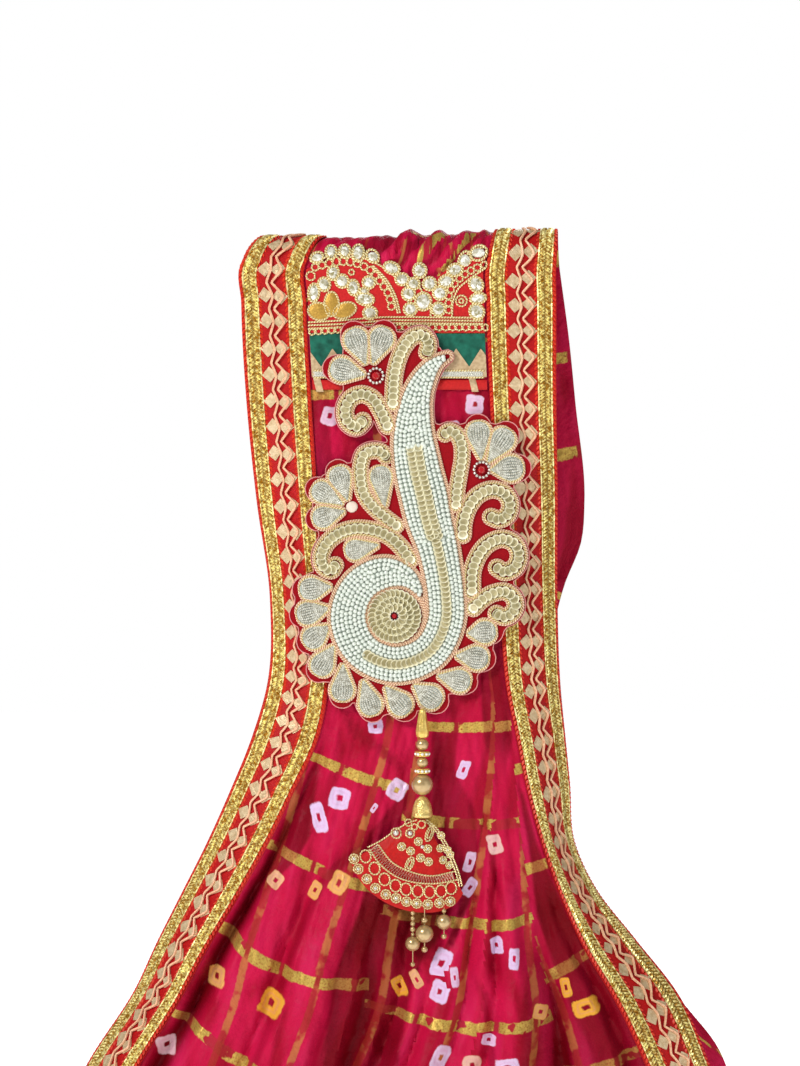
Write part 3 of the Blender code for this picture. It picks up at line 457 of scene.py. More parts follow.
def tie_of_faces(quads, x, drop, ties):
    """Each corner's place in the nearest tied ring, measured so that the ring's half size is 1."""
    centre_x, centre_drop = x[quads].mean(axis=1) / MM, drop[quads].mean(axis=1) / MM
    rows = np.array(ties)
    away = np.hypot(centre_x[:, None] - rows[:, 0], centre_drop[:, None] - rows[:, 1])
    near = rows[np.argmin(away, axis=1)] * (1, 1, 1.02, 1.02, 1, 1)
    lean = np.radians(near[:, 4])[:, None]
    right = x[quads] / MM - near[:, :1]
    down = drop[quads] / MM - near[:, 1:2]
    over = (right * np.cos(lean) + down * np.sin(lean)) / (near[:, 2:3] / 2)
    along = (-right * np.sin(lean) + down * np.cos(lean)) / (near[:, 3:4] / 2)
    return np.stack([over, along, np.repeat(near[:, 5:6], 4, axis=1)], -1)


def strewn_ties(seed, first_drop, width):
    """Rings where the photograph doesn't reach: three to each check, each moved and turned a little."""
    dice = np.random.default_rng(seed)
    rows = []
    for drop in np.arange(first_drop, 600, WEFT_PITCH / 2):
        for x in np.arange(-width, width, 19.0):
            if dice.random() < 0.52:
                continue
            rows.append((
                x + dice.uniform(-5, 5), drop + dice.uniform(-8, 8), dice.uniform(8, 13),
                dice.uniform(10, 14), dice.uniform(-25, 25),
                dice.choice([0.0, 0.1, 0.9], p=[0.45, 0.25, 0.3]),
            ))
    return rows


# The sheet's grid: closer together in front, where the small folds are
silk_station = np.concatenate([
    np.linspace(-(HEM_DROP - FOLD_RADIUS + QUARTER), -60 * MM, 170, endpoint=False),
    np.linspace(-60 * MM, 60 * MM, 48, endpoint=False),
    np.linspace(60 * MM, HEM_DROP - FOLD_RADIUS + QUARTER, 92),
])
silk_across = np.concatenate([np.linspace(-1, 0, 5)[:-1], np.linspace(0, 1, 135), np.linspace(1, 2, 5)[1:]])
station, across = np.meshgrid(silk_station, silk_across, indexing="ij")
silk_drop = drop_of(station)
inside = ramp(across, 0.0, 0.03) * ramp(1 - across, 0.0, 0.03)
silk_x = cloth_points(across, station)[..., 0]
loose = ramp(silk_drop, 90 * MM, 420 * MM)
crinkle = ripple(silk_x, station, 3, 9, 5, 34, 3.2) * (0.28 + 0.55 * loose) * MM
crinkle += ripple(silk_x, station, 8, 6, 14, 60, 1.1) * (0.25 + 0.5 * loose) * MM
# Crumples over the crest, slanting up to the right: the place across them in mm, and how the silk lies there,
# from -1 (raised, with a painted highlight) to 1 (sunk, with painted shade)
CRUMPLES = np.array([
    (-70, -0.6), (-40, -1), (-27, -1), (-24, 0.2), (-21, -1), (-11, -1), (-8, 0.6), (1.5, 0.75), (3.5, -1),
    (9, -1), (11, 0.55), (15, 0.6), (17, -1), (24, -1), (26, 0.55), (30, 0.55), (32, -1), (36, -1),
    (38, 0.6), (41, 0.5), (43, -1), (50, -0.9), (53, 0.5), (58, 0.3), (62, -0.6),
])


def crumple_place(x, station):
    """Where a point near the crest lies across its crumples, in mm: three quarters of its place
    across plus its drop, with a gentle waver. Behind the crest the drop counts the other way."""
    waver = ripple(x, station, 41, 5, 22, 60, 1.0) * 1.3
    return 0.75 * x / MM - np.sign(station) * drop_of(station) / MM + waver


on_crest = np.exp(-(((station + 12 * MM) / (21 * MM)) ** 2))
crumple = np.interp(crumple_place(silk_x, station), *CRUMPLES.T)
gathers = -crumple * 1.4 * MM * on_crest * (0.45 + 0.55 * ramp(-station, 0, 14 * MM))
gathers += ripple(silk_x, station, 22, 7, 8, 22, 1.1) * 0.6 * on_crest * MM
fine = np.where(station < 0, 1.45 * fold_heights(np.clip(across, 0, 1), silk_drop, FRONT_CREASES), 0)
fine = fine + np.where(station >= 0, fold_heights(np.clip(across, 0, 1), silk_drop, BACK_CREASES), 0)
fine = fine + (crinkle + gathers) * inside
# the sewn bands press the silk flat under them
band_head = 13 + 25 * (1 - np.sqrt(np.maximum(
    np.maximum(1 - ((across - 0.24) / 0.33) ** 2, 1 - ((across - 1.02) / 0.33) ** 2), 0.06
)))
pressed = (station < 0) * ramp(silk_drop, (band_head - 3) * MM, (band_head + 1) * MM) * ramp(
    -silk_drop, -97 * MM, -91 * MM
)
fine = fine - np.maximum(fine - 0.3 * MM, 0) * pressed
silk_middle = cloth_points(across, station, fine)
silk_normals = normals_of(silk_middle)
rows, columns = station.shape
silk_points = np.concatenate([
    (silk_middle - silk_normals * SILK_THICK / 2).reshape(-1, 3),
    (silk_middle + silk_normals * SILK_THICK / 2).reshape(-1, 3),
])
under = grid_faces(rows, columns, flip=True)
over = grid_faces(rows, columns, first=rows * columns)
rim = rim_faces(rows, columns, rows * columns)
quads = np.concatenate([under, over, rim])
flat_across = np.tile(across.ravel(), 2)
flat_drop = np.tile(silk_drop.ravel(), 2)
flat_x = np.tile(silk_middle[..., 0].ravel(), 2)
in_front = np.tile(station.ravel(), 2)[quads].mean(axis=1) < 0
cut = np.where(
    in_front[:, None, None], cut_of_faces(quads, flat_across, flat_x, flat_drop, FRONT_FALL, PANELS),
    cut_of_faces(quads, flat_across, flat_x, flat_drop, BACK_FALL, BACK_PANELS),
)
# each crumple shows another piece of the check, turned its own way and gathered small
CRUMPLED_TO = 44 * MM
CRUMPLE_SQUEEZE = 2.2
crumple_of = crumple_place(flat_x, np.tile(station.ravel(), 2))[quads].mean(axis=1)
crumple_of = np.searchsorted(CRUMPLES[:, 0], crumple_of) // 2 % 12
crumpled = in_front & (flat_drop[quads].mean(axis=1) < CRUMPLED_TO)
dice = np.random.default_rng(12)
turn = np.radians(dice.uniform(25, 60, 12))[crumple_of][crumpled][:, None]
shift = dice.uniform(-25, 25, (12, 2))[crumple_of][crumpled][:, None]
own = cut[crumpled] * CRUMPLE_SQUEEZE
turned_over = own[..., 0] * np.cos(turn) - own[..., 1] * np.sin(turn)
turned_along = own[..., 0] * np.sin(turn) + own[..., 1] * np.cos(turn)
cut[crumpled] = shift + np.stack([turned_over, turned_along], -1)
front_ties = list(TIES) + strewn_ties(5, 512, 190)
# the strip of the back fall that shows beside the right lace has no rings in the photograph
BARE_FROM, BARE_TO = 74, 350
back_ties = [tie for tie in strewn_ties(9, 30, 190) if tie[0] < BARE_FROM or tie[1] > BARE_TO]
tie = np.where(
    in_front[:, None, None], tie_of_faces(quads, flat_x, flat_drop, front_ties),
    tie_of_faces(quads, flat_x, flat_drop, back_ties),
)
# Painted shade: the silk's colour is darkened in the valleys of the front folds and creases
lowest_fold = fold_heights(np.clip(across, 0, 1), silk_drop, FRONT_FOLDS + FRONT_CREASES)
painted_shading = np.clip(-np.where(station < 0, lowest_fold, 0) / (7 * MM), 0, 1)
# On the crest the crumples set it: painted shade where they sink and, below 0, a painted highlight where they
# rise
painted_shading = np.where(on_crest > 0.3, crumple * ramp(on_crest, 0.3, 0.5), painted_shading)

# Painted shade over deep folds and the turned sides of pleats, where the silk is darkened. Each is a run of
# rows: drop, left and right edge in mm, and how dark the painted shade is there.
PAINTED_FOLD_SHADE = (
    ((308, -49, -46, 0), (321, -57, -50.5, 0.8), (342, -64, -53.5, 0.85), (359, -72, -55, 0.85),
     (374, -82, -64, 0.75), (388, -92, -78, 0.6), (412, -106, -99, 0.3), (425, -112, -108, 0)),
    ((385, -22, -12, 0), (390, -23, 12, 0.7), (400, -25.3, 29.5, 0.97), (418, -31.8, 23.5, 1.0),
     (432, -37.6, 11.8, 0.85), (447, -42.7, 6, 0.72), (468, -45, 1.6, 0.72), (498, -48.5, -4.2, 0.75),
     (600, -64, -15, 0.8)),
    ((286, 20.5, 38, 0), (300, 18, 33, 0.5), (320, 17.6, 31, 0.6), (345, 17.6, 43, 0.5),
     (374, 30, 45.3, 0.6), (396, 35, 41, 0.85), (410, 31.5, 36, 0.9), (425, 25, 29.5, 0.7),
     (440, 14, 17, 0)),
    ((90, 40, 52, 0.3), (272, 46.7, 64, 0.7), (301, 48.2, 66, 0.7), (323, 54, 60, 0.2), (335, 56, 58, 0)),
    ((325, 66, 68, 0), (336, 70, 73, 0.8), (366, 75.5, 81, 0.85), (385, 77.5, 89, 0.9), (406, 80, 98, 1.0),
     (426, 86, 111, 0.9), (446, 94, 125, 0.8), (482, 108.8, 150, 0.75), (600, 142, 182, 0.75)),
    ((425, 75, 86, 0), (433, 75, 90, 0.4), (460, 70, 102, 0.45), (482, 68, 112, 0.45), (600, 80, 145, 0.45)),
    ((325, -3, 6, 0), (336, -2, 6, 0.7), (354, -17, -3, 0.6), (365, -27, -17, 0.5), (374, -40, -31, 0.5),
     (388, -52, -46, 0.5), (410, -61, -56, 0.4), (440, -72, -68, 0.3), (480, -86, -81, 0.35),
     (600, -120, -114, 0.3)),
    ((268, -49, -46, 0.2), (285, -40, -34, 0.35), (300, -30, -20, 0.4), (312, -12, -4, 0.45),
     (325, -2, 4, 0)),
    ((93, -60, -44, 0.6), (160, -60, -42, 0.5), (262, -60, -40, 0.4), (280, -60, -42, 0)),
    ((93, 42, 60, 0.55), (200, 46, 60, 0.5), (262, 52, 62, 0.5), (275, 52, 62, 0)),
    ((440, 40, 43, 0), (452, 46, 50, 0.5), (480, 50, 54, 0.5), (600, 62, 68, 0.5)),
    ((330, 50, 53, 0), (345, 48, 52, 0.4), (380, 52, 56, 0.45), (400, 58, 61, 0.3), (410, 60, 62, 0)),
)
front_x, front_drop = silk_middle[..., 0] / MM, silk_drop / MM
for fold in PAINTED_FOLD_SHADE:
    rows_here = np.array(fold, float).T
    left, right, dark = (np.interp(front_drop, rows_here[0], values) for values in rows_here[1:])
    dark = dark * (front_drop >= rows_here[0, 0]) * (station < 0)
    painted_shading = np.maximum(
        painted_shading, dark * ramp(front_x, left - 1.2, left + 1.2) * ramp(right - front_x, -1.2, 1.2)
    )

silk, silk_tree, silk_shader = finish_named("crimson tie-dyed silk")
cut_map = add(silk_tree, "UVMap", uv_map="cut")
# thread by thread the check's edges waver by half a millimetre
waver = add(silk_tree, "TexNoise", {"Vector": cut_map, "Scale": 0.35, "Detail": 2})
shifted = add(
    silk_tree, "VectorMath", {0: waver.outputs["Color"], 1: (1.6, 1.6, 0), 2: cut_map},
    operation="MULTIPLY_ADD",
)
threads = add(silk_tree, "SeparateXYZ", {0: shifted})


def band(tree, value, pitch, half, soft):
    """1 within half of a multiple of the pitch, 0 beyond, with a soft edge."""
    away = add(tree, "Math", {0: value, 1: pitch / 2}, operation="PINGPONG")
    return add(tree, "MapRange", {"Value": away, "From Min": half + soft, "From Max": half - soft})


warp_line = band(silk_tree, threads, WARP_PITCH, 2.3, 0.35)
weft_bar = band(silk_tree, threads.outputs[1], WEFT_PITCH, 3.15, 0.3)
bar_break = band(silk_tree, threads, WARP_PITCH / 2, 1.5, 0.4)
worn = add(silk_tree, "TexNoise", {"Vector": cut_map, "Scale": 0.9, "Detail": 3})
worn_gold = add(silk_tree, "MapRange", {"Value": worn, "From Min": 0.26, "From Max": 0.42})
unbroken = add(silk_tree, "Math", {0: 1.0, 1: bar_break}, operation="SUBTRACT")
# The painted shading: above 0 it is painted shade, which darkens the dye and dims the gold; below 0 it is a
# painted highlight
painted_shading_node = add(silk_tree, "Attribute", attribute_name="painted_shading")
painted_highlight = add(silk_tree, "MapRange", {"Value": painted_shading_node.outputs["Fac"], "From Max": -1.0, "To Max": 0.95})
lit = add(
    silk_tree, "MapRange", {"Value": painted_shading_node.outputs["Fac"], "From Min": 0.85, "From Max": 0.3, "To Min": 0.3}
)
faded = add(silk_tree, "TexNoise", {"Vector": cut_map, "Scale": 0.055, "Detail": 3})
kept = add(silk_tree, "MapRange", {"Value": faded, "From Min": 0.41, "From Max": 0.425})
gold_share = weft_bar
for share in (unbroken, worn_gold, kept, lit):
    gold_share = add(silk_tree, "Math", {0: gold_share, 1: share}, operation="MULTIPLY")

tie_place = add(silk_tree, "Attribute", attribute_name="tie")
tie_noise = add(silk_tree, "TexNoise", {"Vector": cut_map, "Scale": 0.2, "Detail": 2})
tie_bent = add(
    silk_tree, "VectorMath",
    {0: tie_noise.outputs["Color"], 1: (0.4, 0.4, 0), 2: tie_place.outputs["Vector"]},
    operation="MULTIPLY_ADD",
)
tie_centred = add(silk_tree, "VectorMath", {0: tie_bent, 1: (0.2, 0.2, 0)}, operation="SUBTRACT")
tie_parts = add(silk_tree, "SeparateXYZ", {0: tie_centred})
side_x = add(silk_tree, "Math", {0: tie_parts}, operation="ABSOLUTE")
side_y = add(silk_tree, "Math", {0: tie_parts.outputs[1]}, operation="ABSOLUTE")
# a rounded square: the fifth root of the sum of both sides' fifth powers
power_x = add(silk_tree, "Math", {0: side_x, 1: 5.0}, operation="POWER")
power_y = add(silk_tree, "Math", {0: side_y, 1: 5.0}, operation="POWER")
powers = add(silk_tree, "Math", {0: power_x, 1: power_y}, operation="ADD")
rounded_away = add(silk_tree, "Math", {0: powers, 1: 1 / 5}, operation="POWER")
ring_outer = add(silk_tree, "MapRange", {"Value": rounded_away, "From Min": 1.0, "From Max": 0.88})
ring_inner = add(silk_tree, "MapRange", {"Value": rounded_away, "From Min": 0.2, "From Max": 0.32})
# a thin pink line goes round inside each ring, where the thread bit
line_away = add(silk_tree, "Math", {0: rounded_away, 1: 0.56}, operation="SUBTRACT")
line_far = add(silk_tree, "Math", {0: line_away}, operation="ABSOLUTE")
inner_line = add(silk_tree, "MapRange", {"Value": line_far, "From Min": 0.13, "From Max": 0.03})
ring = add(silk_tree, "Math", {0: ring_outer, 1: ring_inner}, operation="MULTIPLY")

tone = add(silk_tree, "TexNoise", {"Vector": cut_map, "Scale": 0.03, "Detail": 4})
slub_place = add(silk_tree, "Mapping", {"Vector": cut_map, "Scale": (1.1, 0.07, 1)})
slub = add(silk_tree, "TexNoise", {"Vector": slub_place, "Scale": 1, "Detail": 3})
# pleats pressed along the fall: painted shade where they turn away and a painted highlight on their crests;
# the same noise gives their bump
pleat_place = add(silk_tree, "Mapping", {"Vector": cut_map, "Scale": (0.062, 0.017, 1)})
pleat = add(silk_tree, "TexNoise", {"Vector": pleat_place, "Scale": 1, "Detail": 1.6, "Roughness": 0.5})
painted_pleat_shade = add(silk_tree, "MapRange", {"Value": pleat, "From Min": 0.5, "From Max": 0.36})
painted_pleat_highlight = add(silk_tree, "MapRange", {"Value": pleat, "From Min": 0.55, "From Max": 0.7})
gilded = add(silk_tree, "MapRange", {"Value": faded, "From Min": 0.5, "From Max": 0.56})
warp_tone = add(silk_tree, "Mix", {0: gilded, 6: linear("#9A3420"), 7: linear("#B8803E")}, data_type="RGBA")
# the warp lines show less in the painted shade
warp_share = add(silk_tree, "MapRange", {"Value": painted_shading_node.outputs["Fac"], "To Min": 0.58, "To Max": 0.3})
gilt = add(silk_tree, "Mix", {0: worn, 6: linear("#8A6A20"), 7: linear("#E8C468")}, data_type="RGBA")
line_share = add(silk_tree, "Math", {0: inner_line, 1: 0.16}, operation="MULTIPLY")
tie_tone = {0: tie_parts.outputs[2], 6: linear("#DCC2E4"), 7: linear("#E4A63A")}
tie_tone = add(silk_tree, "Mix", tie_tone, data_type="RGBA")
tie_colour = {0: line_share, 6: tie_tone, 7: linear("#C860A0")}
tie_colour = add(silk_tree, "Mix", tie_colour, data_type="RGBA")
# the dye and what lies over it, from the ground up: where each layer shows, how much, its colour. The second
# and third layers are painted shade and a painted highlight on the pleats, the fourth and fifth painted shade
# and a painted highlight from the folds and crumples
ground = add(silk_tree, "Mix", {0: tone, 6: linear("#A6042A"), 7: linear("#D61A50")}, data_type="RGBA")
for place, amount, colour in (
    (slub, 0.22, linear("#94061C")),
    (painted_pleat_shade, 0.6, linear("#86000F")),
    (painted_pleat_highlight, 0.36, linear("#D22860")),
    (painted_shading_node.outputs["Fac"], 0.92, linear("#640006")),
    (painted_highlight, 1.0, linear("#E03A7C")),
    (warp_line, warp_share, warp_tone),
    (weft_bar, 0.45, linear("#8E3020")),
    (gold_share, 1, gilt), (ring, 0.95, tie_colour),
):
    share = add(silk_tree, "Math", {0: place, 1: amount}, operation="MULTIPLY")
    ground = add(silk_tree, "Mix", {0: share, 6: ground, 7: colour}, data_type="RGBA")
metal_share = add(silk_tree, "Math", {0: gold_share, 1: 0.55}, operation="MULTIPLY")
feed(silk_shader, {"Base Color": ground, "Metallic": metal_share, "Roughness": 0.46, "Sheen Weight": 0.04})
feed(silk_shader, {"Specular IOR Level": 0.08, "Sheen Roughness": 0.4, "Sheen Tint": linear("#FF9AC0")})
crease = add(silk_tree, "TexNoise", {"Vector": cut_map, "Scale": 0.16, "Detail": 4})
weave_place = add(silk_tree, "Mapping", {"Vector": cut_map, "Scale": (1.4, 2.2, 1)})
weave = add(silk_tree, "TexNoise", {"Vector": weave_place, "Scale": 1, "Detail": 1})
pleat_bump = add(silk_tree, "Bump", {"Height": pleat, "Distance": 0.006, "Strength": 0.6})
soft_bump = add(
    silk_tree, "Bump", {"Height": crease, "Distance": 0.0022, "Strength": 0.6, "Normal": pleat_bump}
)
fine_bump = add(
    silk_tree, "Bump", {"Height": weave, "Distance": 0.0003, "Strength": 0.25, "Normal": soft_bump}
)
feed(silk_shader, {"Normal": fine_bump})

silk_piece = new_piece(
    "silk", silk_points, quads, silk, ("cloth_front", "cloth_crest", "cloth_back"),
    corners=(("cut", cut), ("tie", tie)), points_data=(("painted_shading", np.tile(painted_shading.ravel(), 2)),),
)

# The laces
# A 40 mm ribbon of red satin with two gold braids, diamonds of gold paper in two columns and two
# cords that wind between them. It is machined down each long edge of the silk, over the crest.
LACE_LOW = 0.9  # the ribbon's underside above the middle of the silk, in millimetres
RIBBON = 0.6
LACE_END = (HEM_DROP - FOLD_RADIUS + QUARTER) / MM


class Lace:
    """One lace's own coordinates, in millimetres: the way along its seam from the front hem, the
    distance from the seam towards the outer edge, and the height over the middle of the silk."""

    def __init__(self, side):
        self.seam, self.out = (0.0, -1) if side == "left" else (1.0, 1)
        self.station = np.linspace(-LACE_END, LACE_END, 1241) * MM
        middle = cloth_points(self.seam + self.out * 0.5, self.station)
        self.along = lengths(middle) / MM
        self.length = self.along[-1]
        seam_line = cloth_points(self.seam, self.station)
        edge_line = cloth_points(self.seam + self.out, self.station)
        drop = drop_of(self.station)
        lean = np.gradient((seam_line[:, 0] + edge_line[:, 0]) / 2) / np.maximum(
            np.gradient(self.station), 1e-9
        )
        lean = lean * np.sign(self.station) * self.out * ramp(drop, 25 * MM, 70 * MM)
        shown = np.abs(edge_line[:, 0] - seam_line[:, 0]) / np.sqrt(1 + lean**2)
        # a line square across the lace climbs by this much for each unit outwards
        self.climb = lean / np.sqrt(1 + lean**2) * np.minimum(shown / LACE_WIDTH, 1)

    def at(self, along, off, high):
        """The point above the silk at these lace coordinates."""
        along, off, high = np.broadcast_arrays(*(np.asarray(v, float) for v in (along, off, high)))
        station = np.interp(along, self.along, self.station)
        climb = np.interp(along, self.along, self.climb)
        side = np.where(station < 0, 1.0, -1.0)
        station = np.clip(station + side * climb * off * MM, -LACE_END * MM, LACE_END * MM)
        across = self.seam + self.out * off * MM / LACE_WIDTH
        nudge = 0.3 * MM
        here = cloth_points(across, station)
        beside = cloth_points(across + 0.01, station) - cloth_points(across - 0.01, station)
        onward = cloth_points(across, station + nudge) - cloth_points(across, station - nudge)
        return here + unit(np.cross(beside, onward)) * high[..., None] * MM


def slab(grid_low, grid_high):
    """Points and quads of a closed slab between two grids of points."""
    rows, columns = grid_low.shape[:2]
    points = np.concatenate([grid_low.reshape(-1, 3), grid_high.reshape(-1, 3)])
    top = rows * columns
    quads = [
        grid_faces(rows, columns, flip=True), grid_faces(rows, columns, first=top),
        rim_faces(rows, columns, top),
    ]
    return points, np.concatenate(quads)


def tubes(path, side, radius, sides, closed=False):
    """Round tubes along paths: arrays of (tube, step, axis). A ring of points turns about the path
    in the plane of the side vector and its cross product with the heading. Ends are drawn in."""
    count, steps = path.shape[:2]
    if closed:
        heading = np.roll(path, -1, axis=1) - np.roll(path, 1, axis=1)
    else:
        heading = np.gradient(path, axis=1)
    heading = unit(heading)
    side = unit(side - heading * (side * heading).sum(-1, keepdims=True))
    up = np.cross(heading, side)
    angle = np.arange(sides) * 2 * math.pi / sides
    radius = np.broadcast_to(radius, path.shape[:2])[..., None, None]
    ring = side[..., None, :] * np.cos(angle)[:, None] + up[..., None, :] * np.sin(angle)[:, None]
    points = path[..., None, :] + ring * radius
    index = np.arange(count * steps * sides).reshape(count, steps, sides)
    following = np.roll(index, -1, axis=1) if closed else index[:, 1:]
    current = index if closed else index[:, :-1]
    quads = np.stack([current, np.roll(current, -1, 2), np.roll(following, -1, 2), following], -1)
    quads = quads.reshape(-1, 4)
    lengths = np.linalg.norm(np.diff(path, axis=1), axis=-1)
    way = np.concatenate([np.zeros((count, 1)), np.cumsum(lengths, axis=1)], axis=1) / MM
    turn = np.broadcast_to(np.arange(sides) / sides, (count, steps, sides))
    way = np.broadcast_to(way[..., None], (count, steps, sides))
    uv = np.stack([turn, way], -1).reshape(-1, 2)[quads]
    wrapped = uv[:, :, 0].max(axis=1) - uv[:, :, 0].min(axis=1) > 0.5
    uv[..., 0] += (wrapped[:, None] & (uv[..., 0] < 0.5)) * 1.0
    faces = [quads]
    if not closed:
        faces.append(index[:, 0, ::-1].reshape(count, sides))
        faces.append(index[:, -1].reshape(count, sides))
        uv = np.concatenate([uv.reshape(-1, 2), np.zeros((2 * count * sides, 2))])
    return points.reshape(-1, 3), faces, uv.reshape(-1, 2)


def copies(points, faces, origins, right, ahead, up):
    """A small shape repeated: its x, y and z run along right, ahead and up at each origin."""
    frames = np.stack([right, ahead, up], axis=1)
    placed = origins[:, None, :] + np.einsum("kc,ncd->nkd", points, frames)
    shift = np.arange(len(origins))[:, None, None] * len(points)
    return placed.reshape(-1, 3), (faces[None] + shift).reshape(-1, faces.shape[1])


def joined(parts):
    """One point array and one list of face arrays from several (points, face arrays)."""
    points, faces, first = [], [], 0
    for own, lists in parts:
        points.append(own)
        faces += [np.asarray(f) + first for f in (lists if isinstance(lists, list) else [lists])]
        first += len(own)
    return np.concatenate(points), faces


def grain(length, width, height):
    """A stitch: a low pointed lozenge, longest along y, its foot in the plane z = 0."""
    corners = [
        (0, -0.5, 0), (0.5, -0.24, 0), (0.5, 0.24, 0), (0, 0.5, 0), (-0.5, 0.24, 0), (-0.5, -0.24, 0)
    ]
    points = np.array(corners + [(0, -0.3, 1), (0, 0.3, 1)]) * (width, length, height)
    faces = np.array([(0, 1, 6, 6), (1, 2, 7, 6), (2, 3, 7, 7), (3, 4, 7, 7), (4, 5, 6, 7), (5, 0, 6, 6)])
    return points * MM, np.concatenate([faces[:, :3], faces[[1, 4]][:, [0, 2, 3]]])


def stitches(lace, along, off, high, lean, length, width, height):
    """Stitches at these lace coordinates, each turned by lean degrees from the lace's length."""
    step = 0.4
    here = lace.at(along, off, high)
    ahead = unit(lace.at(along + step, off, high) - lace.at(along - step, off, high))
    outward = unit(lace.at(along, off + step, high) - lace.at(along, off - step, high))
    up = unit(np.cross(outward, ahead)) * lace.out
    up *= np.sign((up * (lace.at(along, off, high + 1) - here)).sum(-1, keepdims=True))
    turn = math.radians(lean)
    heading = ahead * math.cos(turn) + outward * math.sin(turn)
    right = np.cross(heading, up)
    return copies(*grain(length, width, height), here, right, heading, up)


def two_toned(name, dark, light, scale, detail=2, contrast=(0, 1), relief=(), **sockets):
    """A finish of two tones mixed by a noise of this scale: contrast gives the noise's values that
    are all dark and all light, relief the depth and the strength of the bump that it makes, and
    sockets the shader's other values, with _ for each space."""
    made, tree, shader = finish_named(name)
    place = add(tree, "TexCoord").outputs["Object"]
    noise = add(tree, "TexNoise", {"Vector": place, "Scale": scale, "Detail": detail})
    share = add(tree, "MapRange", {"Value": noise, "From Min": contrast[0], "From Max": contrast[1]})
    colour = add(tree, "Mix", {0: share, 6: linear(dark), 7: linear(light)}, data_type="RGBA")
    feed(shader, {"Base Color": colour, **{key.replace("_", " "): value for key, value in sockets.items()}})
    if relief:
        feed(
            shader,
            {"Normal": add(tree, "Bump", {"Height": noise, "Distance": relief[0], "Strength": relief[1]})},
        )
    return made


# flattened metal strip wound on yellow silk: its noise paints glints and shade into its colour and also gives
# its bump
gold_thread = two_toned(
    "gold metal thread", "#B07C16", "#FFF6AC", 500, 1, (0.37, 0.6), (0.0004, 0.7),
    Metallic=0.5, Roughness=0.36,
)
# the yellow silk that shows between the stitches is dull, with no relief of its own
gold_ground = two_toned("old gold silk", "#5E4208", "#B08A28", 700, Roughness=0.6)
# loosely plied silk: soft, each stitch a little lighter or darker than the next
edging_thread = two_toned("orange-red silk thread", "#B00C08", "#F0441C", 400, Roughness=0.5)
# paper gilded on one side and creased in handling, so that it glints in patches
gilt_paper = two_toned(
    "pale gilt paper", "#AA8450", "#F2DEB8", 420, 3, relief=(0.001, 0.6), Metallic=0.4, Roughness=0.42
)
peach_cord = two_toned("peach silk cord", "#C67A50", "#FFD8B0", 700, Roughness=0.45)

# ribbon satin: fine ribs run across it, and its face has a soft sheen rather than a gloss
lace_satin, lace_tree, lace_shader = finish_named("red ribbon satin")
lace_map = add(lace_tree, "UVMap", uv_map="lace")
rib_place = add(lace_tree, "Mapping", {"Vector": lace_map, "Scale": (0.4, 1.6, 1)})
rib = add(lace_tree, "TexNoise", {"Vector": rib_place, "Scale": 1, "Detail": 2})
lace_colour = add(lace_tree, "Mix", {0: rib, 6: linear("#8E0208"), 7: linear("#C60A0C")}, data_type="RGBA")
lace_bump = add(lace_tree, "Bump", {"Height": rib, "Distance": 0.0004, "Strength": 0.8})
feed(lace_shader, {"Base Color": lace_colour, "Roughness": 0.5, "Sheen Weight": 0.04, "Normal": lace_bump})
feed(lace_shader, {"Specular IOR Level": 0.2})

BRAID_INNER, BRAID_OUTER = 6.7, 33.4  # middles of the two braids, from the seam
BRAID_ROW = 1.75  # each braid is two rows of slanted stitches, this far from its middle
BRAID_EDGE = 3.9  # and a cord down each side
BED_HALF = 4.2
STITCH_PITCH = 2.0
GROUND_MIDDLE = 20.2
DIAMOND_OFF = 4.2
DIAMOND_PITCH = 15.6
DIAMOND_HALF = 4.75
WAVE = 7.0

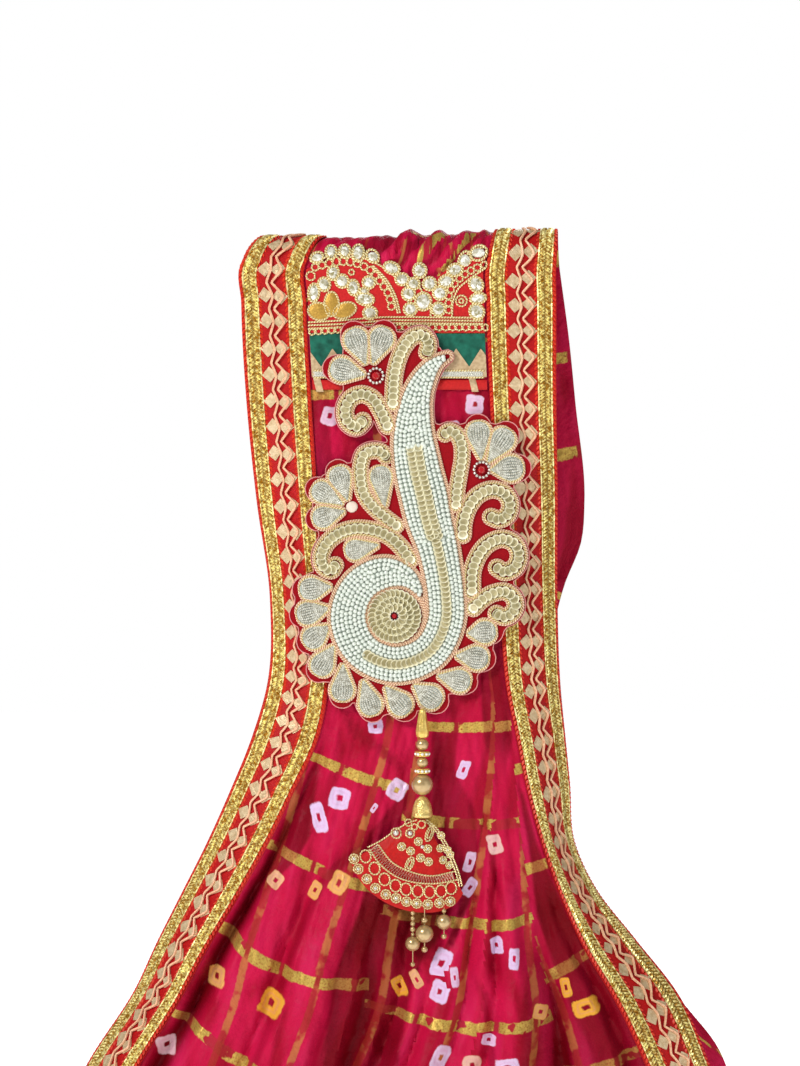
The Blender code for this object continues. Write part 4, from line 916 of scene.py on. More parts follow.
for side in ("left", "right"):
    lace = Lace(side)
    top = LACE_LOW + RIBBON
    along = np.linspace(0, lace.length, 330)[:, None]
    off = np.linspace(0, 40, 9)[None, :: lace.out]
    points, faces = slab(lace.at(along, off, LACE_LOW), lace.at(along, off, top))
    place = np.stack(np.broadcast_arrays(off, along), -1).reshape(-1, 2)
    ribbon_map = (("lace", np.tile(place, (2, 1))[faces]),)
    new_piece(f"lace_{side}_ribbon", points, faces, lace_satin, (f"lace_{side}",), ribbon_map)

    parts, beds = [], []
    every = np.arange(1.5, lace.length - 1.5, STITCH_PITCH)
    for middle in (BRAID_INNER, BRAID_OUTER):
        under = middle + np.array([[-BED_HALF, BED_HALF]]) * lace.out
        beds.append(slab(lace.at(along, under, top + 0.02), lace.at(along, under, top + 0.3)))
        for row, lean in ((-BRAID_ROW, 52), (BRAID_ROW, -52)):
            spots = every + (0.85 if row > 0 else 0)
            parts.append(stitches(lace, spots, middle + row, top + 0.1, lean, 4.6, 1.75, 1.25))
        steps = np.linspace(0.6, lace.length - 0.6, 1150)
        for edge in (-BRAID_EDGE, BRAID_EDGE):
            line = lace.at(steps, middle + edge, top + 0.35)
            beside = lace.at(steps, middle + edge + 0.5, top + 0.35) - line
            rope = 0.62 * MM * (1 + 0.16 * np.sin(steps / 1.3 * 2 * math.pi))
            points, faces, _ = tubes(line[None], beside[None], rope[None], 5)
            parts.append((points, faces))
    edging = []
    edge_every = np.arange(1.5, lace.length - 2, 3.0)
    for off_edge, lean in ((1.3, 32), (38.8, -32), (12.0, -32), (28.2, 32)):
        edging.append(stitches(lace, edge_every, off_edge, top, lean, 3.7, 1.7, 0.9))
    points, faces = joined(parts)
    new_piece(f"lace_{side}_braid", points, faces, gold_thread)
    points, faces = joined(beds)
    new_piece(f"lace_{side}_braid_ground", points, faces, gold_ground)
    points, faces = joined(edging)
    new_piece(f"lace_{side}_edging", points, faces, edging_thread)

    dice = np.random.default_rng(7 if side == "left" else 11)
    parts = []
    spots = np.arange(8.0, lace.length - 6, DIAMOND_PITCH)
    grid = np.linspace(-1, 1, 5)
    for column in (-DIAMOND_OFF, DIAMOND_OFF):
        for spot in spots:
            turn = math.radians(45 + dice.uniform(-9, 9))
            stretch = dice.uniform(0.86, 1.12)
            u, v = np.meshgrid(grid, grid, indexing="ij")
            half = DIAMOND_HALF / math.sqrt(2)
            a = (u * math.cos(turn) * stretch - v * math.sin(turn)) * half
            b = (u * math.sin(turn) * stretch + v * math.cos(turn)) * half
            high = top + 0.55 + 0.25 * dice.random(u.shape)
            low = np.full(u.shape, top + 0.05)
            ahead = spot + b + dice.uniform(-0.7, 0.7) + (1.0 if column > 0 else 0)
            out = GROUND_MIDDLE + column + a + dice.uniform(-0.4, 0.4)
            grids = (lace.at(ahead, out, low), lace.at(ahead, out, high))
            if side == "left":
                grids = (grids[0][::-1], grids[1][::-1])
            parts.append(slab(*grids))
    points, faces = joined(parts)
    new_piece(f"lace_{side}_motifs", points, faces, gilt_paper)
    steps = np.linspace(0.6, lace.length - 0.6, 1050)
    phase = ((steps - 8) / DIAMOND_PITCH + 0.5) * math.pi
    swing = 2 / math.pi * np.arcsin(0.98 * np.abs(np.sin(phase)))
    parts = []
    # one cord goes round the outer column's diamonds, the other dips between those of the inner one
    for way, rise in ((WAVE * swing, 1.3), (-3.0 * (1 - swing), 1.0)):
        off_line = GROUND_MIDDLE + lace.out * (0.3 + way)
        high = top + rise + 0 * steps
        line = lace.at(steps, off_line, high)
        beside = lace.at(steps, off_line + 0.5, high) - line
        points, faces, _ = tubes(line[None], beside[None], 0.8 * MM, 5)
        parts.append((points, faces))
    points, faces = joined(parts)
    new_piece(f"lace_{side}_cords", points, faces, peach_cord)

# The bands across the top
# Four strips sewn one under the other between the laces: red satin worked with stones and gold
# cord, whose upper edge rises in arches; green silk; gold tissue folded to teeth, with a silver
# braid along its foot; and a red piping with small gold tabs.
BAND_LOW = 1.2  # the bands' underside above the middle of the silk, in millimetres
BAND_THICK = 0.9
BAND_ENDS = (0.012, 0.988)
ARCH_SPRING, ARCH_CROWN, ARCH_FOOT = 38, 13, 58
GREEN_HEAD, GREEN_FOOT = 58.5, 80
TOOTH_FIRST, TOOTH_PITCH = -41.9, 14.8  # a tip's place across and the distance between tips
TOOTH_TIP, TOOTH_VALLEY, TOOTH_FOOT = 67.4, 78.4, 84.6
SILVER_BRAID = (81.2, 84.4)
PIPING = (86.2, 92.2)
TABS = ((-51.5, 4.2), (41.5, 4.0))  # place across and width


def on_front(x, drop, high):
    """A point over the front fall: x and drop in mm as seen from the front, high in mm over the
    middle of the silk, along its normal."""
    x, drop, high = np.broadcast_arrays(*(np.asarray(v, float) for v in (x, drop, high)))
    depth = drop * MM
    station = np.where(depth < FOLD_RADIUS, depth * QUARTER / FOLD_RADIUS, depth - FOLD_RADIUS + QUARTER)
    lines = fall_lines(depth, FRONT_FALL)
    across = (x * MM - lines["left_seam"]) / (lines["right_seam"] - lines["left_seam"])
    nudge = 0.4 * MM
    here = cloth_points(across, -station)
    beside = cloth_points(across + 0.01, -station) - cloth_points(across - 0.01, -station)
    onward = cloth_points(across, -station + nudge) - cloth_points(across, -station - nudge)
    return here + unit(np.cross(beside, onward)) * high[..., None] * MM


def seam_x(share, drop):
    """The place across, in mm, of a share of the ground's width at a drop in mm."""
    lines = fall_lines(np.asarray(drop, float) * MM, FRONT_FALL)
    return (lines["left_seam"] + share * (lines["right_seam"] - lines["left_seam"])) / MM


def strip(head, foot, columns, rows, low, high, bulge=0.0):
    """A closed strip between two drops, which may vary across it; the bulge lifts its middle."""
    share = np.linspace(*BAND_ENDS, columns)[None, :]
    down = np.linspace(1, 0, rows)[:, None]
    drop = np.broadcast_to(head, (columns,)) * (1 - down) + np.broadcast_to(foot, (columns,)) * down
    x = seam_x(share, drop)
    lift = bulge * np.sqrt(np.maximum(1 - (2 * down - 1) ** 2, 0))
    return slab(on_front(x, drop, low), on_front(x, drop, high + lift))


def arch_head(share):
    """The drop of the arched band's upper edge: two half ellipses that spring from its middle."""
    left = np.sqrt(np.maximum(1 - ((share - 0.24) / 0.33) ** 2, 0))
    right = np.sqrt(np.maximum(1 - ((share - 1.02) / 0.33) ** 2, 0))
    rise = np.maximum(np.maximum(left, right), 0.25)
    return ARCH_SPRING - (ARCH_SPRING - ARCH_CROWN) * rise


def fabric(name, dark, light, scale, rough, sheen, bump=0.0004, metal=0.0):
    """A finish with a fine relief: cloth, or metal, which keeps its default gloss."""
    gloss = 0.2 if metal == 0 else 0.5
    return two_toned(
        name, dark, light, scale, 4, relief=(bump, 0.7), Roughness=rough, Metallic=metal,
        Sheen_Weight=sheen, Specular_IOR_Level=gloss,
    )


def cord_finish(name, dark, light, metal, rough, pitch, glitter=0.0):
    """A twisted cord: slanted strands, with a painted highlight on their crowns and painted shade between,
    from the cord's own map, whose first value turns once round it and whose second runs along it in mm.
    Glitter is the share of the tone that fine painted glints take over from the strands."""
    made, tree, shader = finish_named(name)
    place = add(tree, "UVMap", uv_map="cord")
    parts = add(tree, "SeparateXYZ", {0: place})
    turns = add(tree, "Math", {0: parts.outputs[1], 1: 1 / pitch, 2: parts}, operation="MULTIPLY_ADD")
    strand = add(tree, "Math", {0: turns, 1: 0.5}, operation="PINGPONG")
    # painted highlight on each strand's crown and painted shade between; the crown also makes the bump
    crown = add(tree, "MapRange", {"Value": strand, "From Min": 0.04, "From Max": 0.42})
    shown = crown
    if glitter:
        place = add(tree, "TexCoord").outputs["Object"]
        # painted glints
        specks = add(tree, "TexNoise", {"Vector": place, "Scale": 620, "Detail": 3})
        painted_glint = add(tree, "MapRange", {"Value": specks, "From Min": 0.4, "From Max": 0.6})
        strands = add(tree, "Math", {0: crown, 1: 1 - glitter}, operation="MULTIPLY")
        shown = add(tree, "Math", {0: painted_glint, 1: glitter, 2: strands}, operation="MULTIPLY_ADD")
    colour = add(tree, "Mix", {0: shown, 6: linear(dark), 7: linear(light)}, data_type="RGBA")
    relief = add(tree, "Bump", {"Height": crown, "Distance": 0.0005, "Strength": 0.9})
    feed(shader, {"Base Color": colour, "Metallic": metal, "Roughness": rough, "Normal": relief})
    return made


red_satin = fabric("red duchesse satin", "#A00A10", "#D42624", 700, 0.55, 0.03)
green_silk = fabric("green shot silk", "#00120E", "#268068", 230, 0.42, 0.05, bump=0.0008)
gold_tissue = fabric("gold tissue", "#9A7048", "#F0D8AC", 480, 0.4, 0.05, metal=0.35)
silver_metal = fabric("silver wire braid", "#A8A698", "#FFFFF6", 1100, 0.3, 0.0, metal=0.25)
gold_cord = cord_finish("gold twisted cord", "#C09A48", "#FFF4C0", 0.35, 0.36, 1.7)
copper_cord = cord_finish("copper twisted cord", "#C48A62", "#FFE2C4", 0.3, 0.4, 1.6)

arch_line = arch_head(np.linspace(*BAND_ENDS, 121))
teeth_x = seam_x(np.linspace(*BAND_ENDS, 241), 74)
between_tips = np.abs(((teeth_x - TOOTH_FIRST) / TOOTH_PITCH + 0.5) % 1 - 0.5) * 2  # 1 in a valley
teeth_head = TOOTH_TIP + (TOOTH_VALLEY - TOOTH_TIP) * between_tips
satin_edges, satin_heights = (arch_line, ARCH_FOOT), (0, BAND_THICK * 0.7)
teeth_edges, teeth_heights = (teeth_head, TOOTH_FOOT), (0.5, 0.95)
# each strip's piece, solid, slot and finish, its edges, its grid, and its underside, top and bulge
for name, solid, slot, finish, edges, grid, heights in (
    ("arch_band", "band_arches", "embroidered_satin", red_satin, satin_edges, (121, 26), satin_heights),
    ("green_band", "band_green", "green_silk", green_silk, (GREEN_HEAD, GREEN_FOOT), (121, 12), (0, 0.4)),
    ("tissue_teeth", "band_teeth", "gold_tissue", gold_tissue, teeth_edges, (241, 7), teeth_heights),
    ("red_piping", "band_piping", "embroidered_satin", red_satin, PIPING, (121, 9), (0, 0.5, 1.1)),
):
    points, faces = strip(*edges, *grid, BAND_LOW + heights[0], BAND_LOW + heights[1], *heights[2:])
    new_piece(name, points, faces, finish, stands_for=(solid,))


def new_cords(name, finish, at, lines, radius, high, sides=5, closed=False):
    """Round cords laid on a surface, as one piece. At gives the surface's point for two coordinates
    and a height in mm; each line holds the two coordinates of a cord's middle."""
    parts, maps = [], []
    for line in lines:
        first, second = np.array(line, float).T
        path = at(first, second, high)
        side = at(first, second, high + 1) - path
        points, faces, uv = tubes(path[None], side[None], radius * MM, sides, closed)
        parts.append((points, faces))
        maps.append(uv)
    points, faces = joined(parts)
    new_piece(name, points, faces, finish, corners=(("cord", np.concatenate(maps)),))


def through(points, step=0.6):
    """A smooth line through the given points of the plane, a point every step of its length."""
    points = np.array(points, float)
    along = lengths(points)
    count = max(int(along[-1] / step), 3)
    share = np.linspace(0, along[-1], count)
    return np.stack([eased(share, along, values) for values in points.T], -1)


def ring_line(x, y, radius_x, radius_y=None, lean=0.0, count=16):
    """A closed oval that ends where it starts."""
    radius_y = radius_x if radius_y is None else radius_y
    angle = np.linspace(0, 2 * math.pi, count)
    a, b = radius_x * np.cos(angle), radius_y * np.sin(angle)
    turn = math.radians(lean)
    return np.stack(
        [x + a * math.cos(turn) - b * math.sin(turn), y + a * math.sin(turn) + b * math.cos(turn)], -1
    )


# Where the silver braid, the tabs and the gold lines lie
left_x, right_x = float(seam_x(0.02, 82)), float(seam_x(0.98, 82))
middle_drop = sum(SILVER_BRAID) / 2
every = np.arange(left_x + 1, right_x - 1, 1.25)
parts = []
for row, lean in ((-0.8, 40), (0.8, -40)):
    here = on_front(every, middle_drop + row, BAND_LOW + 1.0)
    right = unit(on_front(every + 0.4, middle_drop + row, BAND_LOW + 1.0) - here)
    up = unit(on_front(every, middle_drop + row, BAND_LOW + 2.0) - here)
    turn = math.radians(lean)
    down = np.cross(right, up)
    heading = right * math.sin(turn) + down * math.cos(turn)
    parts.append(copies(*grain(2.6, 1.4, 0.8), here, np.cross(heading, up), heading, up))
points, faces = joined(parts)
new_piece("silver_braid", points, faces, silver_metal)

for number, (x, width) in enumerate(TABS, start=1):
    across_tab = np.linspace(x - width / 2, x + width / 2, 7)[None, :]
    drop_tab = np.linspace(PIPING[1] + 1.2, SILVER_BRAID[1] - 0.4, 12)[:, None]
    slant = (drop_tab - PIPING[0]) * 0.25
    lift = 1.2 * np.sin(np.clip((drop_tab - PIPING[0]) / 6, 0, 1) * math.pi)
    low = on_front(across_tab + slant, drop_tab, BAND_LOW + 0.5 + lift)
    points, faces = slab(low, on_front(across_tab + slant, drop_tab, BAND_LOW + 1.0 + lift))
    new_piece(f"gold_tab_{number}", points, faces, gold_tissue)

CORD_RISE = 0.35  # a cord's middle over the satin that it is sewn on
TOP = BAND_LOW + BAND_THICK * 0.7 + CORD_RISE
arch_cord = through([(-18.2, 17.6), (-9.8, 26.3), (-4.4, 36.3), (-1.7, 46.2)])
BRAID_LINES = (SILVER_BRAID[0] - 0.5, SILVER_BRAID[1] + 0.4)
band_lines = [
    through([(-57, 53.6), (-30, 52.4), (-8, 50.6), (10, 50.6), (48, 50.8)]),
    through([(-57, 55.6), (-30, 54.4), (-8, 52.4), (10, 52.4), (48, 52.6)]),
    through([(-57, 51.8), (-34, 50.4), (-16, 48.9), (-2, 48.6), (20, 48.8), (48, 49)]),
    arch_cord,
    arch_cord - (1.4, -0.3),
    through([(49.9, 18.6), (39.2, 26.3), (33.1, 31.7), (30.0, 39.3), (29.3, 48.5)]),
    through([(-54, 15.5), (-40, 12.8), (-26, 13.4), (-14, 17.5), (-4, 25)]),
    through([(-1, 27), (6, 26.2), (10.5, 31.5), (13.2, 38), (16.5, 44), (16.5, 48)]),
    through([(22.4, 26.4), (30.5, 18.6), (37, 13.4), (48.5, 10.6)]),
    *([(x, drop) for x in np.arange(left_x + 0.5, right_x, 1.0)] for drop in BRAID_LINES),
]
new_cords("band_cord", gold_cord, on_front, band_lines, 0.6, TOP, sides=6)

# rings of gold cord: along the inside of each arch, and in a row under the foot line
loop_path = through([(-52.6, 18.7), (-44, 16.4), (-35, 15.4), (-25.8, 17.1), (-18.2, 21.8), (-12.8, 28.6),
                     (-9.0, 34.0), (-7.1, 40.9), (-6.7, 46.2)], 0.2)
right_path = through([(48.4, 17.1), (42.3, 19.9), (34.6, 24.8), (29.3, 30.9), (27.4, 36.3), (27.4, 40.9),
                      (27.4, 45.5)], 0.2)


def points_at(line, where):
    """The points of a line at these lengths along it."""
    return np.stack([np.interp(where, lengths(line), values) for values in line.T], -1)


def spaced(line, gap):
    """Points of a line, this far apart along it."""
    return points_at(line, np.arange(0, lengths(line)[-1], gap))


rings = [ring_line(x, y, 2.1) for x, y in spaced(loop_path, 4.3)]
rings += [ring_line(x, y, 2.0) for x, y in spaced(right_path, 4.2)]
rings += [ring_line(x, 57.6 - (x + 56) * 0.075, 1.75) for x in np.arange(-54.5, -33, 3.9)]
rings += [ring_line(x, 54.8, 1.85) for x in np.arange(-2.4, 50, 4.0)]
rings += [ring_line(x, y, r) for x, y, r in (
    (-55.3, 24, 2.6), (35.0, 38.9, 3.3), (35.0, 38.9, 1.3), (-30.8, 21.7, 1.6)
)]
new_cords("band_rings", gold_cord, on_front, rings, 0.56, TOP)

# Set stones: place across, drop, half widths and lean in degrees. Foiled glass in gilt settings.
SET_STONES = (
    (-51.5, 13.9, 3.6, 1.7, -8), (-43.1, 11.9, 2.9, 2.2, -4), (-35.0, 11.5, 3.1, 2.3, 0),
    (-26.6, 12.2, 3.3, 2.9, 8), (-18.2, 13.5, 3.4, 2.0, 14), (-6.7, 19.1, 4.4, 3.2, 20),
    (-41.9, 22.1, 3.1, 4.0, 8), (-47.3, 29.0, 3.3, 3.8, -12), (-36.5, 27.1, 3.6, 3.7, 20),
    (-53.5, 34.0, 3.0, 5.2, 4), (-29.7, 30.9, 3.1, 4.4, -6), (-20.5, 27.8, 3.4, 3.4, 0),
    (-22.8, 37.8, 5.2, 3.4, 10), (-19.7, 46.2, 3.9, 3.5, 0), (-23.2, 33.0, 2.2, 1.7, 0),
    (12.1, 39.3, 4.5, 5.1, 6), (3.3, 34.7, 3.6, 3.7, 0), (4.4, 43.9, 3.6, 3.5, 0),
    (21.2, 43.9, 3.7, 3.7, 0), (22.0, 34.3, 3.8, 3.7, 0), (15.9, 28.6, 3.7, 3.7, 0),
    (6.3, 28.6, 3.4, 3.2, 0), (-0.6, 25.9, 3.7, 3.3, 0), (10.1, 20.6, 3.6, 4.1, 0),
    (25.8, 27.1, 4.2, 3.3, -20), (31.2, 20.2, 4.2, 3.3, -24), (36.9, 14.8, 3.8, 2.6, -22),
    (45.3, 12.5, 4.4, 2.0, -8), (43.8, 29.0, 3.7, 4.6, -30), (45.0, 37.4, 4.5, 2.8, -10),
    (44.2, 45.4, 4.0, 4.5, -34),
)
glass, glass_tree, glass_shader = finish_named("foiled clear glass")
glass_coords = add(glass_tree, "TexCoord")
# Painted reflections: each facet cell gets a random tone from dark to bright in the colour
facets = add(glass_tree, "TexVoronoi", {"Vector": glass_coords.outputs["Object"], "Scale": 620})
painted_facet_reflection = add(glass_tree, "SeparateColor", {0: facets.outputs["Color"]})
glass_colour = add(
    glass_tree, "Mix", {0: painted_facet_reflection, 6: linear("#9E9468"), 7: linear("#FFFFF6")}, data_type="RGBA"
)
feed(glass_shader, {"Base Color": glass_colour, "Metallic": 0.15, "Roughness": 0.12, "Coat Weight": 0.8})


def stacked(rings, sides):
    """The quads between rings of points laid one on the other, and the triangles that close both
    ends, whose middle points come after all the rings."""
    index = np.arange(rings * sides).reshape(rings, sides)
    after = np.roll(index, -1, axis=1)
    quads = np.stack([index[:-1], after[:-1], after[1:], index[1:]], -1).reshape(-1, 4)
    first_end = np.full(sides, rings * sides)
    caps = [
        np.stack([after[0], index[0], first_end], -1), np.stack([index[-1], after[-1], first_end + 1], -1)
    ]
    return quads, np.concatenate(caps)


def dome_shape(sides, rings, foot, crown):
    """A round cut stone: rings of points from a flat foot to a smaller table, radius 1 and height 1."""
    angle = np.arange(sides) * 2 * math.pi / sides
    share = np.linspace(0, 1, rings)
    radius = foot + (crown - foot) * share**2.2
    points = [np.stack([r * np.cos(angle), r * np.sin(angle), np.full(sides, z)], -1) for r, z in zip(
        radius, share
    )]
    points = np.concatenate(points + [np.array([(0, 0, 0), (0, 0, 1.0)])])
    return points, *stacked(rings, sides)


def set_on(at, rows, template, height):
    """Copies of a template in ovals: at gives the surface's point for (x, y, high), rows give x,
    y, half widths and lean. The template's radius is 1 and its height is given in mm."""
    rows = np.array(rows, float)
    x, y, wide, tall, lean = rows.T
    here = at(x, y, 0.0)
    step = 0.5  # mm, over which the surface's own directions are taken
    right = unit(at(x + step, y, 0.0) - here)
    up = unit(at(x, y, 1.0) - here)
    down = np.cross(right, up)
    down *= np.sign((down * (at(x, y + step, 0.0) - here)).sum(-1, keepdims=True))
    turn = np.radians(lean)[:, None]
    first = (right * np.cos(turn) + down * np.sin(turn)) * wide[:, None] * MM
    second = (down * np.cos(turn) - right * np.sin(turn)) * tall[:, None] * MM
    flip = np.sign((np.cross(first, second) * up).sum(-1, keepdims=True))
    points, quads, caps = template
    placed, quads = copies(points, quads, here, first, second * flip, up * height * MM)
    count = len(here)
    shift = (np.arange(count) * len(points))[:, None, None]
    return placed, [quads, (caps[None] + shift).reshape(-1, 3)]


def on_band(x, drop, high):
    """A point over the arched band's satin: x and drop in mm, high in mm above it."""
    return on_front(x, drop, TOP - CORD_RISE + high)


# near the crest the band lies back, so a stone there is longer along it than it looks
stone_rows = np.array(SET_STONES)
stone_rows[:, 2] *= 0.96
stone_rows[:, 3] *= np.where(stone_rows[:, 1] < 15, 1.5, np.where(stone_rows[:, 1] < 19, 1.06, 0.96))
points, faces = set_on(on_band, stone_rows, dome_shape(9, 3, 1.0, 0.5), 2.0)
stones = new_piece("band_stones", points, faces, glass)
stones.data.shade_flat()
settings = [ring_line(x, y, w + 0.2, t + 0.2, lean, 18) for x, y, w, t, lean in SET_STONES]
new_cords("band_settings", gold_cord, on_front, settings, 0.82, TOP)

# the gold leaf of three lobes, in padded satin stitch
LOBES = ((-50.4, 45.2, 6.6, 5.2, 14), (-42.8, 40.8, 4.4, 7.4, 0), (-35.0, 44.6, 7.2, 4.6, -20))
leaf_gold = fabric("gold satin stitch", "#8A5C14", "#DDB24E", 1100, 0.4, 0.0, metal=0.5)
points, faces = set_on(on_band, LOBES, dome_shape(18, 5, 1.0, 0.2), 1.1)
new_piece("band_leaf", points, faces, leaf_gold)
leaf_lines = [ring_line(*lobe, 20) for lobe in LOBES]
new_cords("band_leaf_cord", gold_cord, on_front, leaf_lines, 0.6, TOP)

# The patch
# A stiffened red felt cut round its embroidery and stitched over the silk and the bands. Pearls
# and cup sequins fill a paisley; scrolls of cups, petals of coiled wire and set stones grow from it.
PATCH_FRONT = -20.2  # the embroidery's foot, just over the felt, in millimetres
SPIRAL_X, SPIRAL_DROP = -5.2, 227.6
SCROLLS = {
    "scroll_tall": (3.5, ((-0.9, 127), (-0.6, 134), (0.2, 144), (2.6, 154), (6.6, 162), (11.5, 167),
                          (16.6, 168), (19.9, 164.4), (20.4, 160.6), (19.4, 157.6))),
    "scroll_upper_left": (3.7, ((-4, 113.6), (-8.2, 122.8), (-13, 130), (-19.4, 132.6), (-26, 130),
                                (-29.4, 123), (-27.4, 115.6), (-22.6, 113.1), (-18.8, 116.6))),
    "scroll_loop_left": (3.3, ((1.2, 54), (-5.4, 59), (-12.6, 65.2), (-18.2, 73), (-20.1, 82),
                               (-19.9, 91), (-17.6, 97), (-12.4, 98.8), (-7.4, 98), (-5.2, 95.4))),
    "scroll_long_left": (3.6, ((9.4, 33.4), (4.2, 41), (-4.2, 48.2), (-14.9, 51.8), (-25.9, 51.9),
                               (-36, 47.6), (-42, 41), (-43.8, 34), (-41.6, 28.6), (-37.6, 27.2),
                               (-35.3, 30.4))),
    "scroll_upper_right": (3.3, ((36.9, 66.4), (37.6, 76), (39.2, 86), (40.6, 96), (39.9, 103.4),
                                 (36.8, 109), (32.6, 110.6), (30.2, 108.6))),
    "scroll_right_1": (3.7, ((40.9, 48.4), (41.3, 55), (44.6, 65.4), (50.6, 72.6), (58.6, 75.6),
                             (65.4, 73.6), (69.2, 67), (67.6, 60.6), (62.4, 57.6), (57.8, 59.2))),
    "scroll_right_2": (3.8, ((46.4, 14.8), (46.8, 27.4), (50.4, 36.6), (56.8, 43.6), (64.6, 46.2),
                             (71.6, 43.4), (74.5, 36), (71.6, 28.8), (65.6, 26.4), (61.4, 28.8))),
    "scroll_right_3": (3.6, ((47.2, 4.6), (52.8, 10), (59.6, 13.8), (66.2, 14.6), (71, 11.2),
                             (72.4, 6), (69.8, 1.2), (65, -0.6), (61, 1.4))),
}
PETAL_ROOT_RADIUS = 1.5
PETALS = {
    "petal_a1": (-17.4, 151.4, -22.8, 165, 6.6), "petal_a2": (-12.6, 151.8, -7.6, 165.6, 6.6),
    "petal_a3": (-18.6, 144.4, -31.3, 147.2, 6.6), "petal_b1": (-28.2, 70.2, -32.6, 83, 6),
    "petal_b2": (-31.6, 67.2, -43.2, 74.2, 5.8), "petal_b3": (-30.8, 62.6, -42.6, 59, 5.8),
    "petal_c1": (51.8, 94.6, 50.4, 109.4, 6.4), "petal_c2": (56.6, 92.8, 64.8, 105.4, 6.6),
    "petal_c3": (58.8, 87.4, 69.8, 88.2, 6.9), "petal_inner_1": (-5.9, 66, -8, 83.2, 5.9),
    "petal_inner_2": (-10.4, 42.4, -23.4, 39.6, 5.5), "petal_rim_01": (-38.6, 17.4, -49.8, 16.2, 6.3),
    "petal_rim_02": (-39.8, 4.6, -51.6, 1.6, 6.3), "petal_rim_03": (-39.4, -6.4, -48.2, -13, 6.1),
    "petal_rim_04": (-36.6, -18.6, -43.2, -29.2, 6.2), "petal_rim_05": (-30.6, -29.8, -31, -44.2, 6.1),
    "petal_rim_06": (-18.4, -39.4, -14.2, -52.8, 6.1), "petal_rim_07": (-4.6, -43, 3.8, -52.8, 6.3),
    "petal_rim_08": (12.4, -42, 21.8, -48.6, 6.5), "petal_rim_09": (27, -35.8, 39, -38.6, 6.1),
    "petal_rim_10": (37.8, -23.8, 49.4, -25, 6.4), "petal_rim_11": (44.8, -10.4, 54.2, -9.6, 6.2),
}
TAIL = (
    (31.8, 155.2, 1.5), (26.8, 152.6, 2.8), (21.8, 148, 4.6), (17.6, 141.5, 6.2), (14.3, 134, 7.5),
    (12.3, 125, 8.9), (11.3, 115, 10.4), (11.4, 105, 11.8), (12.7, 95, 12.7), (14.8, 84, 13.2),
    (17.6, 72.9, 13.5), (21, 57.6, 12.9), (25.6, 42.3, 11.6), (28.8, 27, 10.8), (30.8, 12, 10.5),
)
SPIRAL = (
    (2, 31, 10.4), (45, 30, 10.4), (90, 28.9, 10.4), (135, 28.2, 10.4), (180, 27.6, 10.4), (225, 27.2, 9.9),
    (262, 26.2, 8.7), (290, 24, 5.6), (308, 21.6, 3.2), (322, 19.9, 1.6),
)


def on_patch(x, z, high):
    """A point over the felt: x and z in mm from the spiral's centre, high in mm."""
    x, z, high = np.broadcast_arrays(*(np.asarray(v, float) for v in (x, z, high)))
    return np.stack([SPIRAL_X + x, PATCH_FRONT - high, -SPIRAL_DROP + z], -1) * MM


def resampled(rows, step):
    """Rows of (x, z, half width) as a smooth line with a row every step."""
    rows = np.array(rows, float)
    along = lengths(rows[:, :2])
    share = np.linspace(0, along[-1], int(along[-1] / step) + 2)
    return np.stack([eased(share, along, values) for values in rows.T], -1)


def sideways(line):
    """Unit vectors to the left of a line's heading."""
    heading = unit(np.gradient(line[:, :2], axis=0))
    return np.stack([-heading[:, 1], heading[:, 0]], -1)


def petal_rows(root_x, root_z, end_x, end_z, radius, step=0.8):
    """A petal's axis with half widths: the outline that wraps a small circle and a large one."""
    root, end = np.array((root_x, root_z)), np.array((end_x, end_z))
    length = np.linalg.norm(end - root)
    along = np.linspace(-PETAL_ROOT_RADIUS * 0.9, length + radius * 0.97, int((length + radius) / step) + 2)
    share = np.linspace(0, 1, 41)
    discs = PETAL_ROOT_RADIUS + (radius - PETAL_ROOT_RADIUS) * share
    reach = discs[None, :] ** 2 - (along[:, None] - share[None, :] * length) ** 2
    widths = np.sqrt(np.maximum(reach, 0)).max(axis=1)
    return np.concatenate([root + (end - root) / length * along[:, None], widths[:, None]], axis=1)


def outline(rows, grow, round_ends=True, step=0.55):
    """A closed line round a form, this far outside its half widths, evenly spaced."""
    side = sideways(rows)
    left = rows[:, :2] + side * (rows[:, 2:3] + grow)
    right = (rows[:, :2] - side * (rows[:, 2:3] + grow))[::-1]
    if round_ends:
        def cap(centre, out, across, size):
            angle = np.linspace(0, math.pi, 9)[1:-1, None]
            return centre + across * np.cos(angle) * size + out * np.sin(angle) * size

        ahead = unit(rows[-1, :2] - rows[-2, :2])
        behind = unit(rows[0, :2] - rows[1, :2])
        stop = cap(rows[-1, :2], ahead, side[-1], rows[-1, 2] + grow)
        start = cap(rows[0, :2], behind, -side[0], rows[0, 2] + grow)
        loop = np.concatenate([left, stop, right, start])
    else:
        loop = np.concatenate([left, right])
    loop = np.concatenate([loop, loop[:1]])
    whole = lengths(loop)[-1]
    return points_at(loop, np.linspace(0, whole, int(whole / step) + 1)[:-1])


felt = fabric("red wool felt", "#7A020E", "#AA0616", 1300, 0.95, 0.08, bump=0.0006)
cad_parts["patch_felt"].material_slots[0].material = felt

spiral_rows = [(r * math.cos(math.radians(a)), -r * math.sin(math.radians(a)), w) for a, r, w in SPIRAL]
body = resampled([*TAIL, *spiral_rows], 0.5)
body_side = sideways(body)
body_along = lengths(body[:, :2])

# The row of cups starts double, below the tail's tip, runs single from the waist, and stops
# part of the way round the spiral
DOUBLE_FROM, DOUBLE_TO, CUPS_END = 62.0, 119.0, 231.0
PEARL = 2.9
zone = np.where(
    body_along < DOUBLE_FROM, 0,
    np.where(body_along < DOUBLE_TO, 5.0, np.where(body_along < CUPS_END, 3.0, 0)),
)
PEARL_PITCH = 2.7
LANE_PITCH = 2.55


